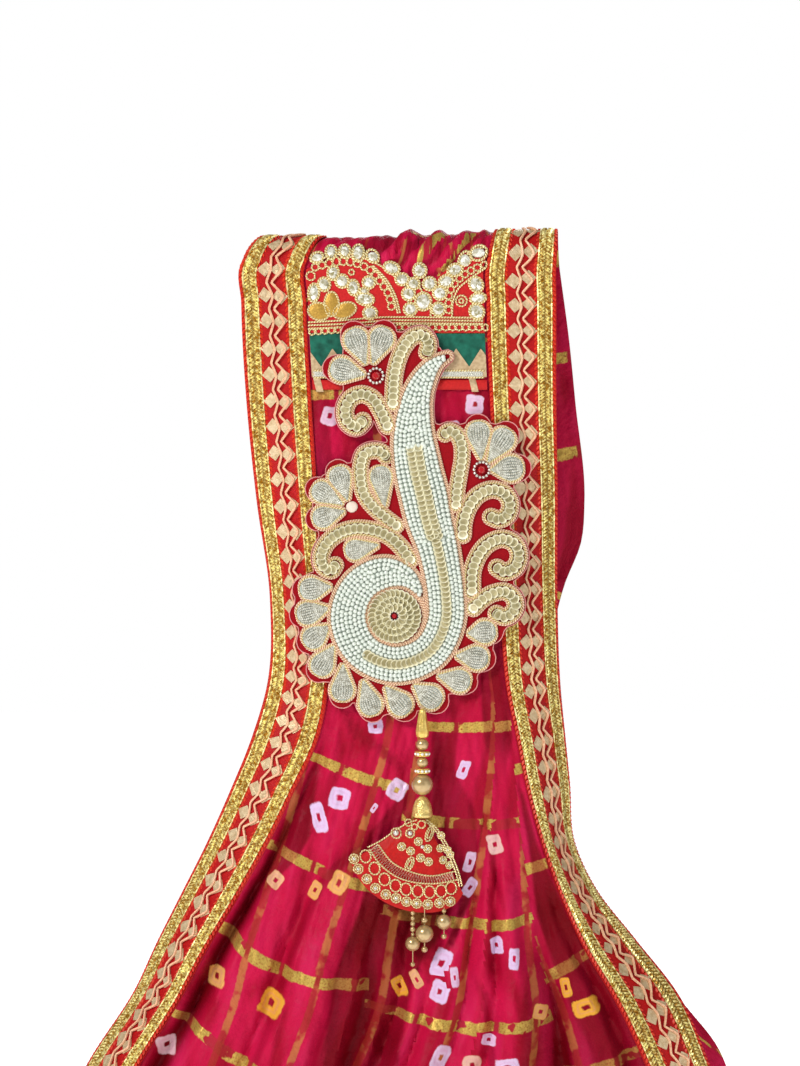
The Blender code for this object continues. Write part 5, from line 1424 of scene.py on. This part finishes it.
def sphere_shape(sides, rings):
    """A ball of radius 1 with its poles along z: points, quads, and the triangles at the poles."""
    tilt = np.linspace(-math.pi / 2, math.pi / 2, rings + 2)[1:-1]
    angle = np.arange(sides) * 2 * math.pi / sides
    radius, height = np.cos(tilt)[:, None], np.sin(tilt)[:, None] + 0 * angle
    points = np.stack([radius * np.cos(angle), radius * np.sin(angle), height], -1).reshape(-1, 3)
    points = np.concatenate([points, [(0, 0, -1), (0, 0, 1)]])
    return points, *stacked(rings, sides)


def balls(centres, radius, sides=8, rings=5):
    """Balls of this radius, in metres, at these points."""
    points, quads, caps = sphere_shape(sides, rings)
    radius = np.broadcast_to(radius, len(centres))
    axes = [np.outer(radius, axis) for axis in ((1, 0, 0), (0, 0, 1), (0, -1, 0))]
    placed, quads = copies(points, quads, centres, *axes)
    shift = (np.arange(len(centres)) * len(points))[:, None, None]
    return placed, [quads, (caps[None] + shift).reshape(-1, 3)]


dice = np.random.default_rng(17)
spots = []
outermost = body[:, 2] - 1.35
for sign in (1, -1):
    innermost = np.where(zone > 0, zone + 1.25, -outermost)
    count = np.round((outermost - innermost) / LANE_PITCH) + 1
    for lane in range(9):
        offset = innermost + lane * (outermost - innermost) / np.maximum(count - 1, 1)
        used = (lane < count) & ((zone > 0) | (sign > 0))
        line = body[:, :2] + body_side * (sign * offset)[:, None]
        run = np.concatenate([
            [0], np.cumsum(np.minimum(np.linalg.norm(np.diff(line, axis=0), axis=1), 1.2))
        ])
        where = np.arange(dice.uniform(0, PEARL_PITCH), run[-1], PEARL_PITCH)
        index = np.clip(np.searchsorted(run, where), 0, len(run) - 1)
        index = index[used[index]]
        keep = line[index]
        arch = 0.5 * (1 - (offset[index] / np.maximum(body[index, 2], 1)) ** 2)
        spots.append(np.concatenate([keep + dice.uniform(-0.06, 0.06, keep.shape), arch[:, None]], axis=1))
spots = np.concatenate(spots)
# lacquered glass beads: a soft greenish white under a clear gloss
pearl = two_toned(
    "white glass pearl", "#C8D2C8", "#E8ECDE", 300, Roughness=0.28, Coat_Weight=0.6, Coat_Roughness=0.1
)
points, faces = balls(on_patch(spots[:, 0], spots[:, 1], PEARL / 2 + spots[:, 2]), PEARL / 2 * MM)
new_piece("pearls", points, faces, pearl, stands_for=("paisley_body",))

# the padding that the pearls are sewn through, grey-white between them
def low_pad(rows, shrink, rise):
    """A low pad under a form: flat beneath, arched across, this much narrower on each side."""
    section = np.array([(-1, 0), (-0.92, 0.5), (-0.5, 0.85), (0, 1), (0.5, 0.85), (0.92, 0.5), (1, 0)])
    half = np.maximum(rows[:, None, 2:3] - shrink, 0.1)
    flat = rows[:, None, :2] + sideways(rows)[:, None] * section[None, :, :1] * half
    high = on_patch(flat[..., 0], flat[..., 1], section[None, :, 1] * rise + 0.1)
    return slab(on_patch(flat[..., 0], flat[..., 1], 0.0), high)


padding_cloth = fabric("grey padding cloth", "#AEB8AE", "#CED6CC", 800, 0.8, 0.0)
points, faces = low_pad(body[9::3], 0.0, 1.1)
new_piece("pearl_padding", points, faces, padding_cloth)

# Cup sequins: shallow bowls of 6 mm, each laid over the edge of the one before
# the raised rim takes a painted highlight; the bowl keeps the lacquer's own tone
cup_finish, cup_tree, cup_shader = finish_named("champagne lacquered cup sequin")
cup_rim = add(cup_tree, "Attribute", attribute_name="rim")
cup_place = add(cup_tree, "TexCoord").outputs["Object"]
cup_tone = add(cup_tree, "TexNoise", {"Vector": cup_place, "Scale": 260})
cup_bowl = add(cup_tree, "Mix", {0: cup_tone, 6: linear("#A89D72"), 7: linear("#DAD0AA")}, data_type="RGBA")
# painted highlight towards each cup's rim
painted_rim_highlight = add(cup_tree, "MapRange", {"Value": cup_rim.outputs["Fac"], "From Min": 0.58, "From Max": 0.82})
cup_colour = add(cup_tree, "Mix", {0: painted_rim_highlight, 6: cup_bowl, 7: linear("#FFFBE0")}, data_type="RGBA")
feed(cup_shader, {"Base Color": cup_colour, "Metallic": 0.15, "Roughness": 0.32})


def new_cups(name, parts, stands_for=()):
    """A piece of cup sequins, with each point's share of its cup's radius kept as its rim value."""
    points, faces = joined(parts)
    template = cup_shape()[0]
    rim = np.tile(np.linalg.norm(template[:, :2], axis=1), len(points) // len(template))
    new_piece(name, points, faces, cup_finish, stands_for, points_data=(("rim", rim),))


def cup_shape(sides=12):
    """A bowl of radius 1 open along z, with a wall: rings at these radii and heights."""
    profile = np.array([
        (0.05, -0.28), (0.66, -0.2), (1.0, 0.12), (0.97, 0.02), (0.62, -0.32), (0.05, -0.38)
    ])
    angle = np.arange(sides) * 2 * math.pi / sides
    radius, height = profile[:, :1], profile[:, 1:] + 0 * angle
    points = np.stack([radius * np.cos(angle), radius * np.sin(angle), height], -1).reshape(-1, 3)
    index = np.arange(len(profile) * sides).reshape(len(profile), sides)
    below, above = index, np.roll(index, -1, axis=0)
    quads = np.stack([below, above, np.roll(above, -1, 1), np.roll(below, -1, 1)], -1).reshape(-1, 4)
    return points, quads


def cups(line, radius, high, tilt, heading=None):
    """Cup sequins along a line of (x, z), each tilted so that its leading edge is raised."""
    heading = unit(np.gradient(line, axis=0)) if heading is None else heading
    centre = on_patch(line[:, 0], line[:, 1], high)
    ahead = np.stack([heading[:, 0], 0 * heading[:, 0], heading[:, 1]], -1)
    up = np.broadcast_to((0.0, -1.0, 0.0), ahead.shape)
    turn = math.radians(tilt)
    face = up * math.cos(turn) - ahead * math.sin(turn)
    onward = ahead * math.cos(turn) + up * math.sin(turn)
    right = np.cross(onward, face)
    points, quads = cup_shape()
    size = radius * MM
    return copies(points, quads, centre, right * size, onward * size, face * size)


cup_parts = []
cup_line = body[(body_along > DOUBLE_TO - 4) & (body_along < CUPS_END)]
cup_parts.append(cups(spaced(cup_line[:, :2], 3.0), 3.1, 3.0, 27))
double = (body_along > DOUBLE_FROM) & (body_along < DOUBLE_TO)
for sign in (1, -1):
    line = body[double, :2] + body_side[double] * sign * 2.35
    cup_parts.append(cups(spaced(line, 3.0), 2.8, 3.0, 27))
new_cups("body_sequins", cup_parts)

# The spiral's middle: three rings of cups round a small red stone in a ring of silver beads
disc_parts = []
for radius, gap, high in ((13.3, 2.8, 1.6), (9.2, 2.8, 2.3), (5.5, 2.8, 3.0)):
    count = round(2 * math.pi * radius / gap)
    angle = np.arange(count) * 2 * math.pi / count
    line = np.stack([radius * np.cos(angle), -radius * np.sin(angle)], -1)
    heading = np.stack([-np.sin(angle), -np.cos(angle)], -1)
    disc_parts.append(cups(line, 3.0, high, 30, heading))
new_cups("spiral_sequins", disc_parts, ("sequin_disc",))

# Scrolls: one row of cups from root to tip, between two cords
for name, (half_width, line) in SCROLLS.items():
    rows = resampled([(x, z, half_width) for x, z in line], 0.5)
    where = np.cumsum(np.concatenate([[0.1], np.linspace(3.8, 2.4, 60)]))
    whole = lengths(rows[:, :2])[-1]
    middle = points_at(rows[:, :2], np.append(where[where < whole - 1.4], [whole - 0.2]))
    new_cups(f"{name}_sequins", [cups(middle, min(half_width - 0.3, 3.2), 1.9, 32)], (name,))

scroll_rows = [resampled([(x, z, w) for x, z in line], 0.6) for w, line in SCROLLS.values()]
inner = [outline(rows, 0.0) for rows in scroll_rows]
outer = [outline(rows, 1.15) for rows in scroll_rows]
body_rows = body[::2]
outer += [outline(body_rows, 0.55), outline(body_rows, 1.65)]
petal_lines = {name: petal_rows(*row[:4], row[4] + 1.1) for name, row in PETALS.items()}
outer += [outline(rows, 0.85, round_ends=False) for rows in petal_lines.values()]
# two turns of cord fill the space between the sequin disc and the pearls
outer.append(ring_line(0.0, 0.0, 17.3, count=120)[:-1])
sweep = np.radians(np.linspace(-46, 12, 40))[:, None]
arc = np.concatenate([np.cos(sweep), -np.sin(sweep)], axis=1)
outer.append(np.concatenate([arc * 19.4, arc[::-1] * 18.5]))
new_cords("copper_cords", copper_cord, on_patch, outer, 0.68, 0.6, closed=True)
inner += [outline(rows, -0.25, round_ends=False) for rows in petal_lines.values()]
new_cords("gold_cords", gold_cord, on_patch, inner, 0.55, 0.75, closed=True)

# The felt's cut edge shows its pale inside as a fine rim. The outline is the edges that only one
# triangle of the felt's front has.
felt_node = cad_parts["patch_felt"]
felt_points = np.empty(len(felt_node.data.vertices) * 3)
felt_node.data.vertices.foreach_get("co", felt_points)
felt_points, same = np.unique(np.round(felt_points.reshape(-1, 3), 6), axis=0, return_inverse=True)
felt_corners = np.empty(len(felt_node.data.loops), int)
felt_node.data.loops.foreach_get("vertex_index", felt_corners)
felt_tris = same.ravel()[felt_corners].reshape(-1, 3)
felt_tris = felt_tris[(felt_points[felt_tris][..., 1] < felt_points[:, 1].min() + 0.2 * MM).all(axis=1)]
sides = np.concatenate([felt_tris[:, [0, 1]], felt_tris[:, [1, 2]], felt_tris[:, [2, 0]]])
directed = set(map(tuple, sides.tolist()))
onward = {a: b for a, b in directed if (b, a) not in directed}
FELT_STEP = 0.8
edge_loops = []
while onward:
    first, here = onward.popitem()
    loop = [first, here]
    while here in onward:
        here = onward.pop(here)
        loop.append(here)
    loop = felt_points[loop][:, [0, 2]] / MM - (SPIRAL_X, -SPIRAL_DROP)
    whole = lengths(loop)[-1]
    edge_loops.append(points_at(loop, np.linspace(0, whole, int(whole / FELT_STEP) + 3)[:-1]))
cut_felt = fabric("cut felt edge", "#C86A6C", "#F0AEA6", 900, 0.9, 0.1)
new_cords("felt_cut_edge", cut_felt, on_patch, edge_loops, 0.3, -0.1, closed=True)

# Petals: silver coiled wire laid lengthwise over a low pad
points, faces = joined([low_pad(rows, 0.3, 0.75) for rows in petal_lines.values()])
new_piece("petal_padding", points, faces, padding_cloth)
silver_coil = cord_finish("silver coiled wire", "#A19C86", "#FFFFF2", 0.15, 0.24, 1.2, glitter=0.55)
for name, rows in petal_lines.items():
    side = sideways(rows)
    start, stop = 2, len(rows) - 2
    parts, maps = [], []
    lanes = np.linspace(-1, 1, 9)
    width = np.maximum(rows[start:stop, 2] - 1.15, 0.15)
    for lane in lanes:
        line = rows[start:stop, :2] + side[start:stop] * (lane * width)[:, None]
        high = 0.7 + 1.0 * (1 - lane**2) * ramp(width, 0, 3)
        path = on_patch(line[:, 0], line[:, 1], high)
        thick = np.clip(width / 6.4, 0.2, 0.62) * MM
        points, faces, uv = tubes(
            path[None], np.broadcast_to((0.0, -1.0, 0.0), path.shape)[None], thick[None], 5
        )
        parts.append((points, faces))
        maps.append(uv)
    points, faces = joined(parts)
    wire_map = (("cord", np.concatenate(maps)),)
    new_piece(f"{name}_wire", points, faces, silver_coil, (name,), wire_map)

# Stones: cut red glass in a ring of silver beads. One is lost, and its dried glue is left.
ruby, _, ruby_shader = finish_named("red cut glass")
feed(ruby_shader, {"Base Color": linear("#B00818"), "Roughness": 0.08, "Coat Weight": 1.0})
glue = fabric("dried clear glue", "#D8C0AE", "#EFE2D2", 300, 0.35, 0.0)
silver_bead = fabric("silver bead", "#A8A49A", "#FBF8EE", 900, 0.25, 0.0, metal=0.5)
for name, x, z, radius, ring_radius, beads in (
    ("stone_a", -11, 143.6, 2.7, 4.4, 13), ("stone_c", 52.2, 87.4, 2.6, 4.6, 14),
    ("stone_spiral", 0, 0, 1.75, 2.75, 9),
):
    points, faces = set_on(on_patch, [(x, z, radius, radius, 0)], dome_shape(10, 3, 1.0, 0.5), 2.4)
    raised = 1.3 if name == "stone_spiral" else 0
    points[:, 1] -= raised * MM
    stone = new_piece(f"{name}_glass", points, faces, ruby, stands_for=(name,))
    stone.data.shade_flat()
    angle = np.arange(beads) * 2 * math.pi / beads
    ring = on_patch(x + ring_radius * np.cos(angle), z + ring_radius * np.sin(angle), 1.0 + raised)
    points, faces = balls(ring, (0.95 if beads > 9 else 0.8) * MM, 8, 5)
    new_piece(f"{name}_beads", points, faces, silver_bead)
points, faces = set_on(on_patch, [(-25.4, 65.2, 3.6, 3.4, 20)], dome_shape(12, 4, 1.0, 0.4), 1.1)
new_piece("glue_disc", points, faces, glue, stands_for=("stone_b",))

# The tassel
# It hangs by a tape from the felt's lower edge: a ribbed gilt drop, champagne pearls with stone-set
# rondelles between them, a hammered cap and a padded satin fan worked with gold cord. Three strings
# of beads hang from the fan's lower edge.
TASSEL_X, TASSEL_FRONT = 11.5, -25.5
FAN_DROP, FAN_APEX = 345.1, 3.5
FAN_LEFT, FAN_RIGHT = -56.0, 27.0


def turned(x, y, profile, sides, ribs=0, rib_depth=0.0):
    """A round solid about a vertical line through x, y: the profile's rows are radius and drop in
    mm, from the foot to the head, and ribs wave its radius by a share of it."""
    radius, drop = np.array(profile, float).T
    angle = np.arange(sides) * 2 * math.pi / sides
    wave = 1 + rib_depth * np.cos(ribs * angle)
    over, depth = radius[:, None] * np.cos(angle) * wave, radius[:, None] * np.sin(angle) * wave
    rings = np.stack([x + over, y + depth, -drop[:, None] + 0 * angle], -1)
    points = np.concatenate([rings.reshape(-1, 3), [(x, y, -drop[0]), (x, y, -drop[-1])]]) * MM
    return points, list(stacked(len(radius), sides))


def profile_of(top, height, radius, shares):
    """Shares of the radius and of the height, from the foot up, as radii and drops in mm."""
    shares = np.array(shares, float)
    along = np.linspace(0, 1, 25)
    own = np.linspace(0, 1, len(shares))
    wide, high = (np.interp(along, own, column) for column in shares.T)
    return np.stack([radius * wide, top + height * (1 - high)], -1)


def ball_profile(top, height, radius):
    """A slightly flattened ball."""
    tilt = np.linspace(-86, 86, 15) * math.pi / 180
    return np.stack([radius * np.cos(tilt), top + height / 2 - height / 2 * np.sin(tilt)], -1)


# glass beads with a pearly metal lacquer: warm, softly mirrored and patchy
champagne = two_toned(
    "champagne glass pearl", "#A68752", "#D8BC88", 260, 3, Metallic=0.5, Roughness=0.27, Coat_Weight=0.7,
    Coat_Roughness=0.08,
)
gilt_metal = fabric("gilt brass", "#D0A038", "#FFE68C", 500, 0.24, 0.0, metal=0.6)
hammered = fabric("hammered gilt brass", "#D0A040", "#FFEFA0", 420, 0.26, 0.0, bump=0.0016, metal=0.6)
white_glass = fabric("white rhinestone", "#DDE0D8", "#FFFFFF", 1400, 0.1, 0.0, metal=0.2)

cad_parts["tassel_loop"].material_slots[0].material = gold_tissue

pear = (
    (0.0, 0.0), (0.62, 0.0), (0.86, 0.05), (0.98, 0.13), (1.0, 0.22), (0.93, 0.36), (0.8, 0.52),
    (0.67, 0.68), (0.56, 0.84), (0.46, 0.95), (0.2, 1.0),
)
points, faces = turned(TASSEL_X, TASSEL_FRONT, profile_of(282.6, 17.6, 3.9, pear)[1:], 36, 9, 0.05)
new_piece("tassel_drop_bead", points, faces, gilt_metal, stands_for=("tassel_drop",))

for name, top, height, radius in (
    ("tassel_pearl_1", 300.4, 7.4, 3.8), ("tassel_pearl_2", 311.3, 6.7, 3.5),
    ("tassel_pearl_3", 321.4, 12.9, 6.4),
):
    points, faces = turned(TASSEL_X, TASSEL_FRONT, ball_profile(top, height, radius), 28)
    new_piece(f"{name}_bead", points, faces, champagne, stands_for=(name,))

ring_section = (
    (0.35, 0), (0.86, 0), (1.0, 0.12), (1.0, 0.24), (0.86, 0.36), (0.86, 0.64), (1.0, 0.76), (1.0, 0.88),
    (0.86, 1), (0.35, 1),
)
for name, top, radius in (("tassel_rondelle_1", 308.0, 4.5), ("tassel_rondelle_2", 318.2, 4.4)):
    height = 3.1
    points, faces = turned(TASSEL_X, TASSEL_FRONT, profile_of(top, height, radius, ring_section), 32)
    new_piece(f"{name}_ring", points, faces, gilt_metal, stands_for=(name,))
    angle = np.arange(10) * 2 * math.pi / 10 + 0.3
    over, depth = radius * 0.9 * np.cos(angle), radius * 0.9 * np.sin(angle)
    centres = np.stack([TASSEL_X + over, TASSEL_FRONT + depth, np.full(10, -top - height / 2)], -1)
    points, faces = balls(centres * MM, 0.98 * MM, 8, 5)
    new_piece(f"{name}_crystals", points, faces, white_glass)

bell = (
    (0.93, 0.0), (1.0, 0.03), (1.03, 0.1), (0.96, 0.24), (0.93, 0.4), (0.84, 0.58), (0.68, 0.76),
    (0.46, 0.9), (0.24, 0.98), (0.1, 1.0),
)
points, faces = turned(TASSEL_X, TASSEL_FRONT, profile_of(334.6, 12.6, 6.2, bell), 36)
new_piece("tassel_cap_bell", points, faces, hammered, stands_for=("tassel_cap",))


def fan_reach(angle):
    """How far the fan's hem is from its point, in mm, at an angle in degrees from straight down."""
    return eased(angle, (-56, -48, -40, -20, 0, 12, 20, 27), (51.5, 53.3, 55, 57.6, 59, 59, 57.4, 53.5))


def fan_half(share, angle):
    """Half the pad's thickness: the filling fades towards the point, the hem and both sides, and
    is drawn in a little under the two rows of gold stitching."""
    fade = eased(share, (0, 0.25, 0.5, 0.75, 0.93, 1), (0.75, 0.95, 1, 0.9, 0.6, 0.2))
    turn = np.clip((angle - FAN_LEFT) / (FAN_RIGHT - FAN_LEFT), 0, 1)
    edge = np.minimum(1, np.sin(np.pi * turn) * 1.5 + 0.2)
    edge = edge - 0.1 * ramp(edge, 0.7, 1.0)
    seams = 0.45 * np.exp(-(((share - 0.645) / 0.02) ** 2)) + 0.45 * np.exp(-(((share - 0.775) / 0.02) ** 2))
    return np.maximum(4.4 * fade * edge - seams * edge, 0.15)


def on_fan(x, drop, high):
    """A point over the fan's front: x and drop in mm, high in mm above the satin."""
    x, drop, high = np.broadcast_arrays(*(np.asarray(v, float) for v in (x, drop, high)))
    away_x, away_drop = x - TASSEL_X, drop - FAN_DROP
    angle = np.degrees(np.arctan2(away_x, away_drop))
    share = (np.hypot(away_x, away_drop) - FAN_APEX) / (fan_reach(angle) - FAN_APEX)
    half = fan_half(np.clip(share, 0, 1), np.clip(angle, FAN_LEFT, FAN_RIGHT))
    return np.stack([x, TASSEL_FRONT - half - high, -drop], -1) * MM


share, angle = np.meshgrid(
    np.linspace(0, 1, 61) ** 0.9, np.linspace(FAN_LEFT, FAN_RIGHT, 73), indexing="ij"
)
reach = FAN_APEX + (fan_reach(angle) - FAN_APEX) * share
fan_x = TASSEL_X + reach * np.sin(np.radians(angle))
fan_drop = FAN_DROP + reach * np.cos(np.radians(angle))
half = fan_half(share, angle)
pucker = ripple(fan_x * MM, fan_drop * MM, 31, 6, 4, 14, 1.0) * 0.16 * np.minimum(half / 2, 1)
front = np.stack([fan_x, TASSEL_FRONT - half - pucker, -fan_drop], -1) * MM
back = np.stack([fan_x, TASSEL_FRONT + half, -fan_drop], -1) * MM
points, faces = slab(back, front)
fan_satin = fabric("padded red satin", "#9C080A", "#CC1812", 520, 0.5, 0.04, bump=0.0006)
fan = new_piece("fan_pad", points, faces[:, ::-1], fan_satin, stands_for=("tassel_fan",))


BORDER_RINGS = (
    (-29.2, 372), (-26.6, 377.9), (-21.5, 383.8), (-16.4, 389.2), (-10.2, 392.9), (-4.1, 395.1), (2.1, 397.2),
    (8.1, 398.3), (14.7, 398.8), (21.7, 398), (28.1, 397.2),
)
OPEN_LOOPS = (
    (-22.3, 370.4), (-16.9, 377.4), (-11, 383.8), (-4.4, 387.6), (1.8, 389.7), (8.8, 390.8), (15.8, 391.3),
    (22.7, 390.8), (28.6, 389.2),
)
INNER_ARC = ((-14.8, 363.5), (-5.7, 374.2), (5.1, 379.5), (15.8, 381.7), (30.8, 379.5))
OUTER_ARC = ((-20.1, 366.2), (-13.2, 375.3), (-2.4, 382.9), (8.3, 385.8), (17.9, 386.3), (33.6, 384.2))
FLOWER = ((9.1, 361.3), (-0.8, 364.3), (4.5, 366.9), (14.7, 365.6), (10.4, 371), (15.2, 373.3))
RIGHT_RINGS = ((22.7, 358.1), (22.2, 365.6), (26.5, 366.7), (23.8, 372.6), (27.6, 375.8), (28.1, 369.4))
inner_arc, outer_arc = through(INNER_ARC, 0.5), through(OUTER_ARC, 0.5)
count = 37
ladder_inner = spaced(inner_arc, (len(inner_arc) - 1) * 0.5 / count)[:count]
ladder_outer = spaced(outer_arc, (len(outer_arc) - 1) * 0.5 / count)[:count]
zigzag = np.empty((2 * count - 1, 2))
zigzag[0::2] = ladder_inner
zigzag[1::2] = (ladder_outer[:-1] + ladder_outer[1:]) / 2
side_line = np.array([
    (13.6, 348.4), (19.4, 353.2), (25.4, 362.0), (29.6, 371.0), (33.4, 381.0), (35.2, 388.2)
])
left_line = np.array([(8.4, 348.6), (1.6, 351.4), (-6.4, 356.4), (-13.4, 361.2), (-21.2, 365.2)])
fan_lines = [ring_line(x, y, 2.75) for x, y in BORDER_RINGS]
fan_lines += [ring_line(x, y, 1.5, count=12) for x, y in BORDER_RINGS]
fan_lines += [ring_line(x, y, 3.2, 3.7, -6) for x, y in OPEN_LOOPS]
fan_lines += [ring_line(x, y, 2.2) for x, y in FLOWER] + [ring_line(x, y, 1.1, count=10) for x, y in FLOWER]
fan_lines += [ring_line(x, y, 2.0) for x, y in RIGHT_RINGS]
fan_lines += [ring_line(x, y, 1.0, count=10) for x, y in RIGHT_RINGS]
fan_lines += [ring_line(15.8, 356.8, 2.1, 4.6, 22), ring_line(3.9, 374.6, 2.1, 4.4, 24)]
fan_lines += [ring_line(15.8, 356.8, 1.0, 2.9, 22), ring_line(3.9, 374.6, 1.0, 2.8, 24)]
fan_lines += [ring_line(3.2, 350.4, 2.0), ring_line(11.0, 351.2, 2.2), ring_line(6.8, 352.6, 1.7)]
fan_lines += [ring_line(-4.1, 356.6, 2.9), ring_line(4.2, 356.4, 2.5)]
fan_lines += [inner_arc, outer_arc, through(side_line, 0.5), through(left_line, 0.5)]
fan_lines += [through(side_line - (1.5, -0.4), 0.5)]
new_cords("fan_cords", gold_cord, on_fan, fan_lines, 0.46, 0.3)
rose_cord = cord_finish("rose gilt cord", "#F0B890", "#FFF6E0", 0.0, 0.4, 2.2)
new_cords("fan_ladder", rose_cord, on_fan, [zigzag], 0.5, 0.3)
spots = [(x, y, 1.15) for x, y in BORDER_RINGS] + [(x, y, 0.7) for x, y in FLOWER + RIGHT_RINGS]
spots += [(-4.1, 356.6, 1.9), (4.2, 356.4, 1.6), (11.5, 364.5, 1.3)]
spots = np.array(spots)
points, faces = balls(on_fan(spots[:, 0], spots[:, 1], 0.25), spots[:, 2] * MM, 8, 5)
new_piece("fan_sequins", points, faces, silver_bead)

# Strings of beads: place across and depth, then each bead's middle drop and radius, in mm
STRINGS = {
    "string_left": (5.8, 26.2, ((404.4, 1.4), (407.4, 1.5), (410.6, 1.6), (414, 1.7), (417, 1.2),
                                (422.6, 4.5), (434.9, 1.5))),
    "string_middle": (12.8, 27.6, ((408.4, 2), (416.4, 5.4), (425.8, 1.9))),
    "string_right": (24.4, 26.6, ((403, 1.4), (409.6, 4.6), (418.2, 1.7))),
}
STRING_HEAD = 398  # the drop at which each string leaves the fan, in mm
for name, (x, depth, beads) in STRINGS.items():
    rows = np.array(beads)
    centres = np.stack([np.full(len(rows), x), np.full(len(rows), -depth), -rows[:, 0]], -1) * MM
    thread_drop = np.linspace(STRING_HEAD, rows[-1, 0], 20)
    path = np.stack([np.full(20, x), np.full(20, -depth), -thread_drop], -1) * MM
    parts = [tubes(path[None], np.broadcast_to((1.0, 0, 0), path.shape)[None], 0.35 * MM, 6)[:2]]
    large = rows[:, 1] > 3
    parts.append(balls(centres[large], rows[large, 1] * MM, 24, 13))
    parts.append(balls(centres[~large], rows[~large, 1] * MM, 12, 7))
    points, faces = joined(parts)
    new_piece(f"{name}_beads", points, faces, champagne, stands_for=(name,))

low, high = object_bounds()
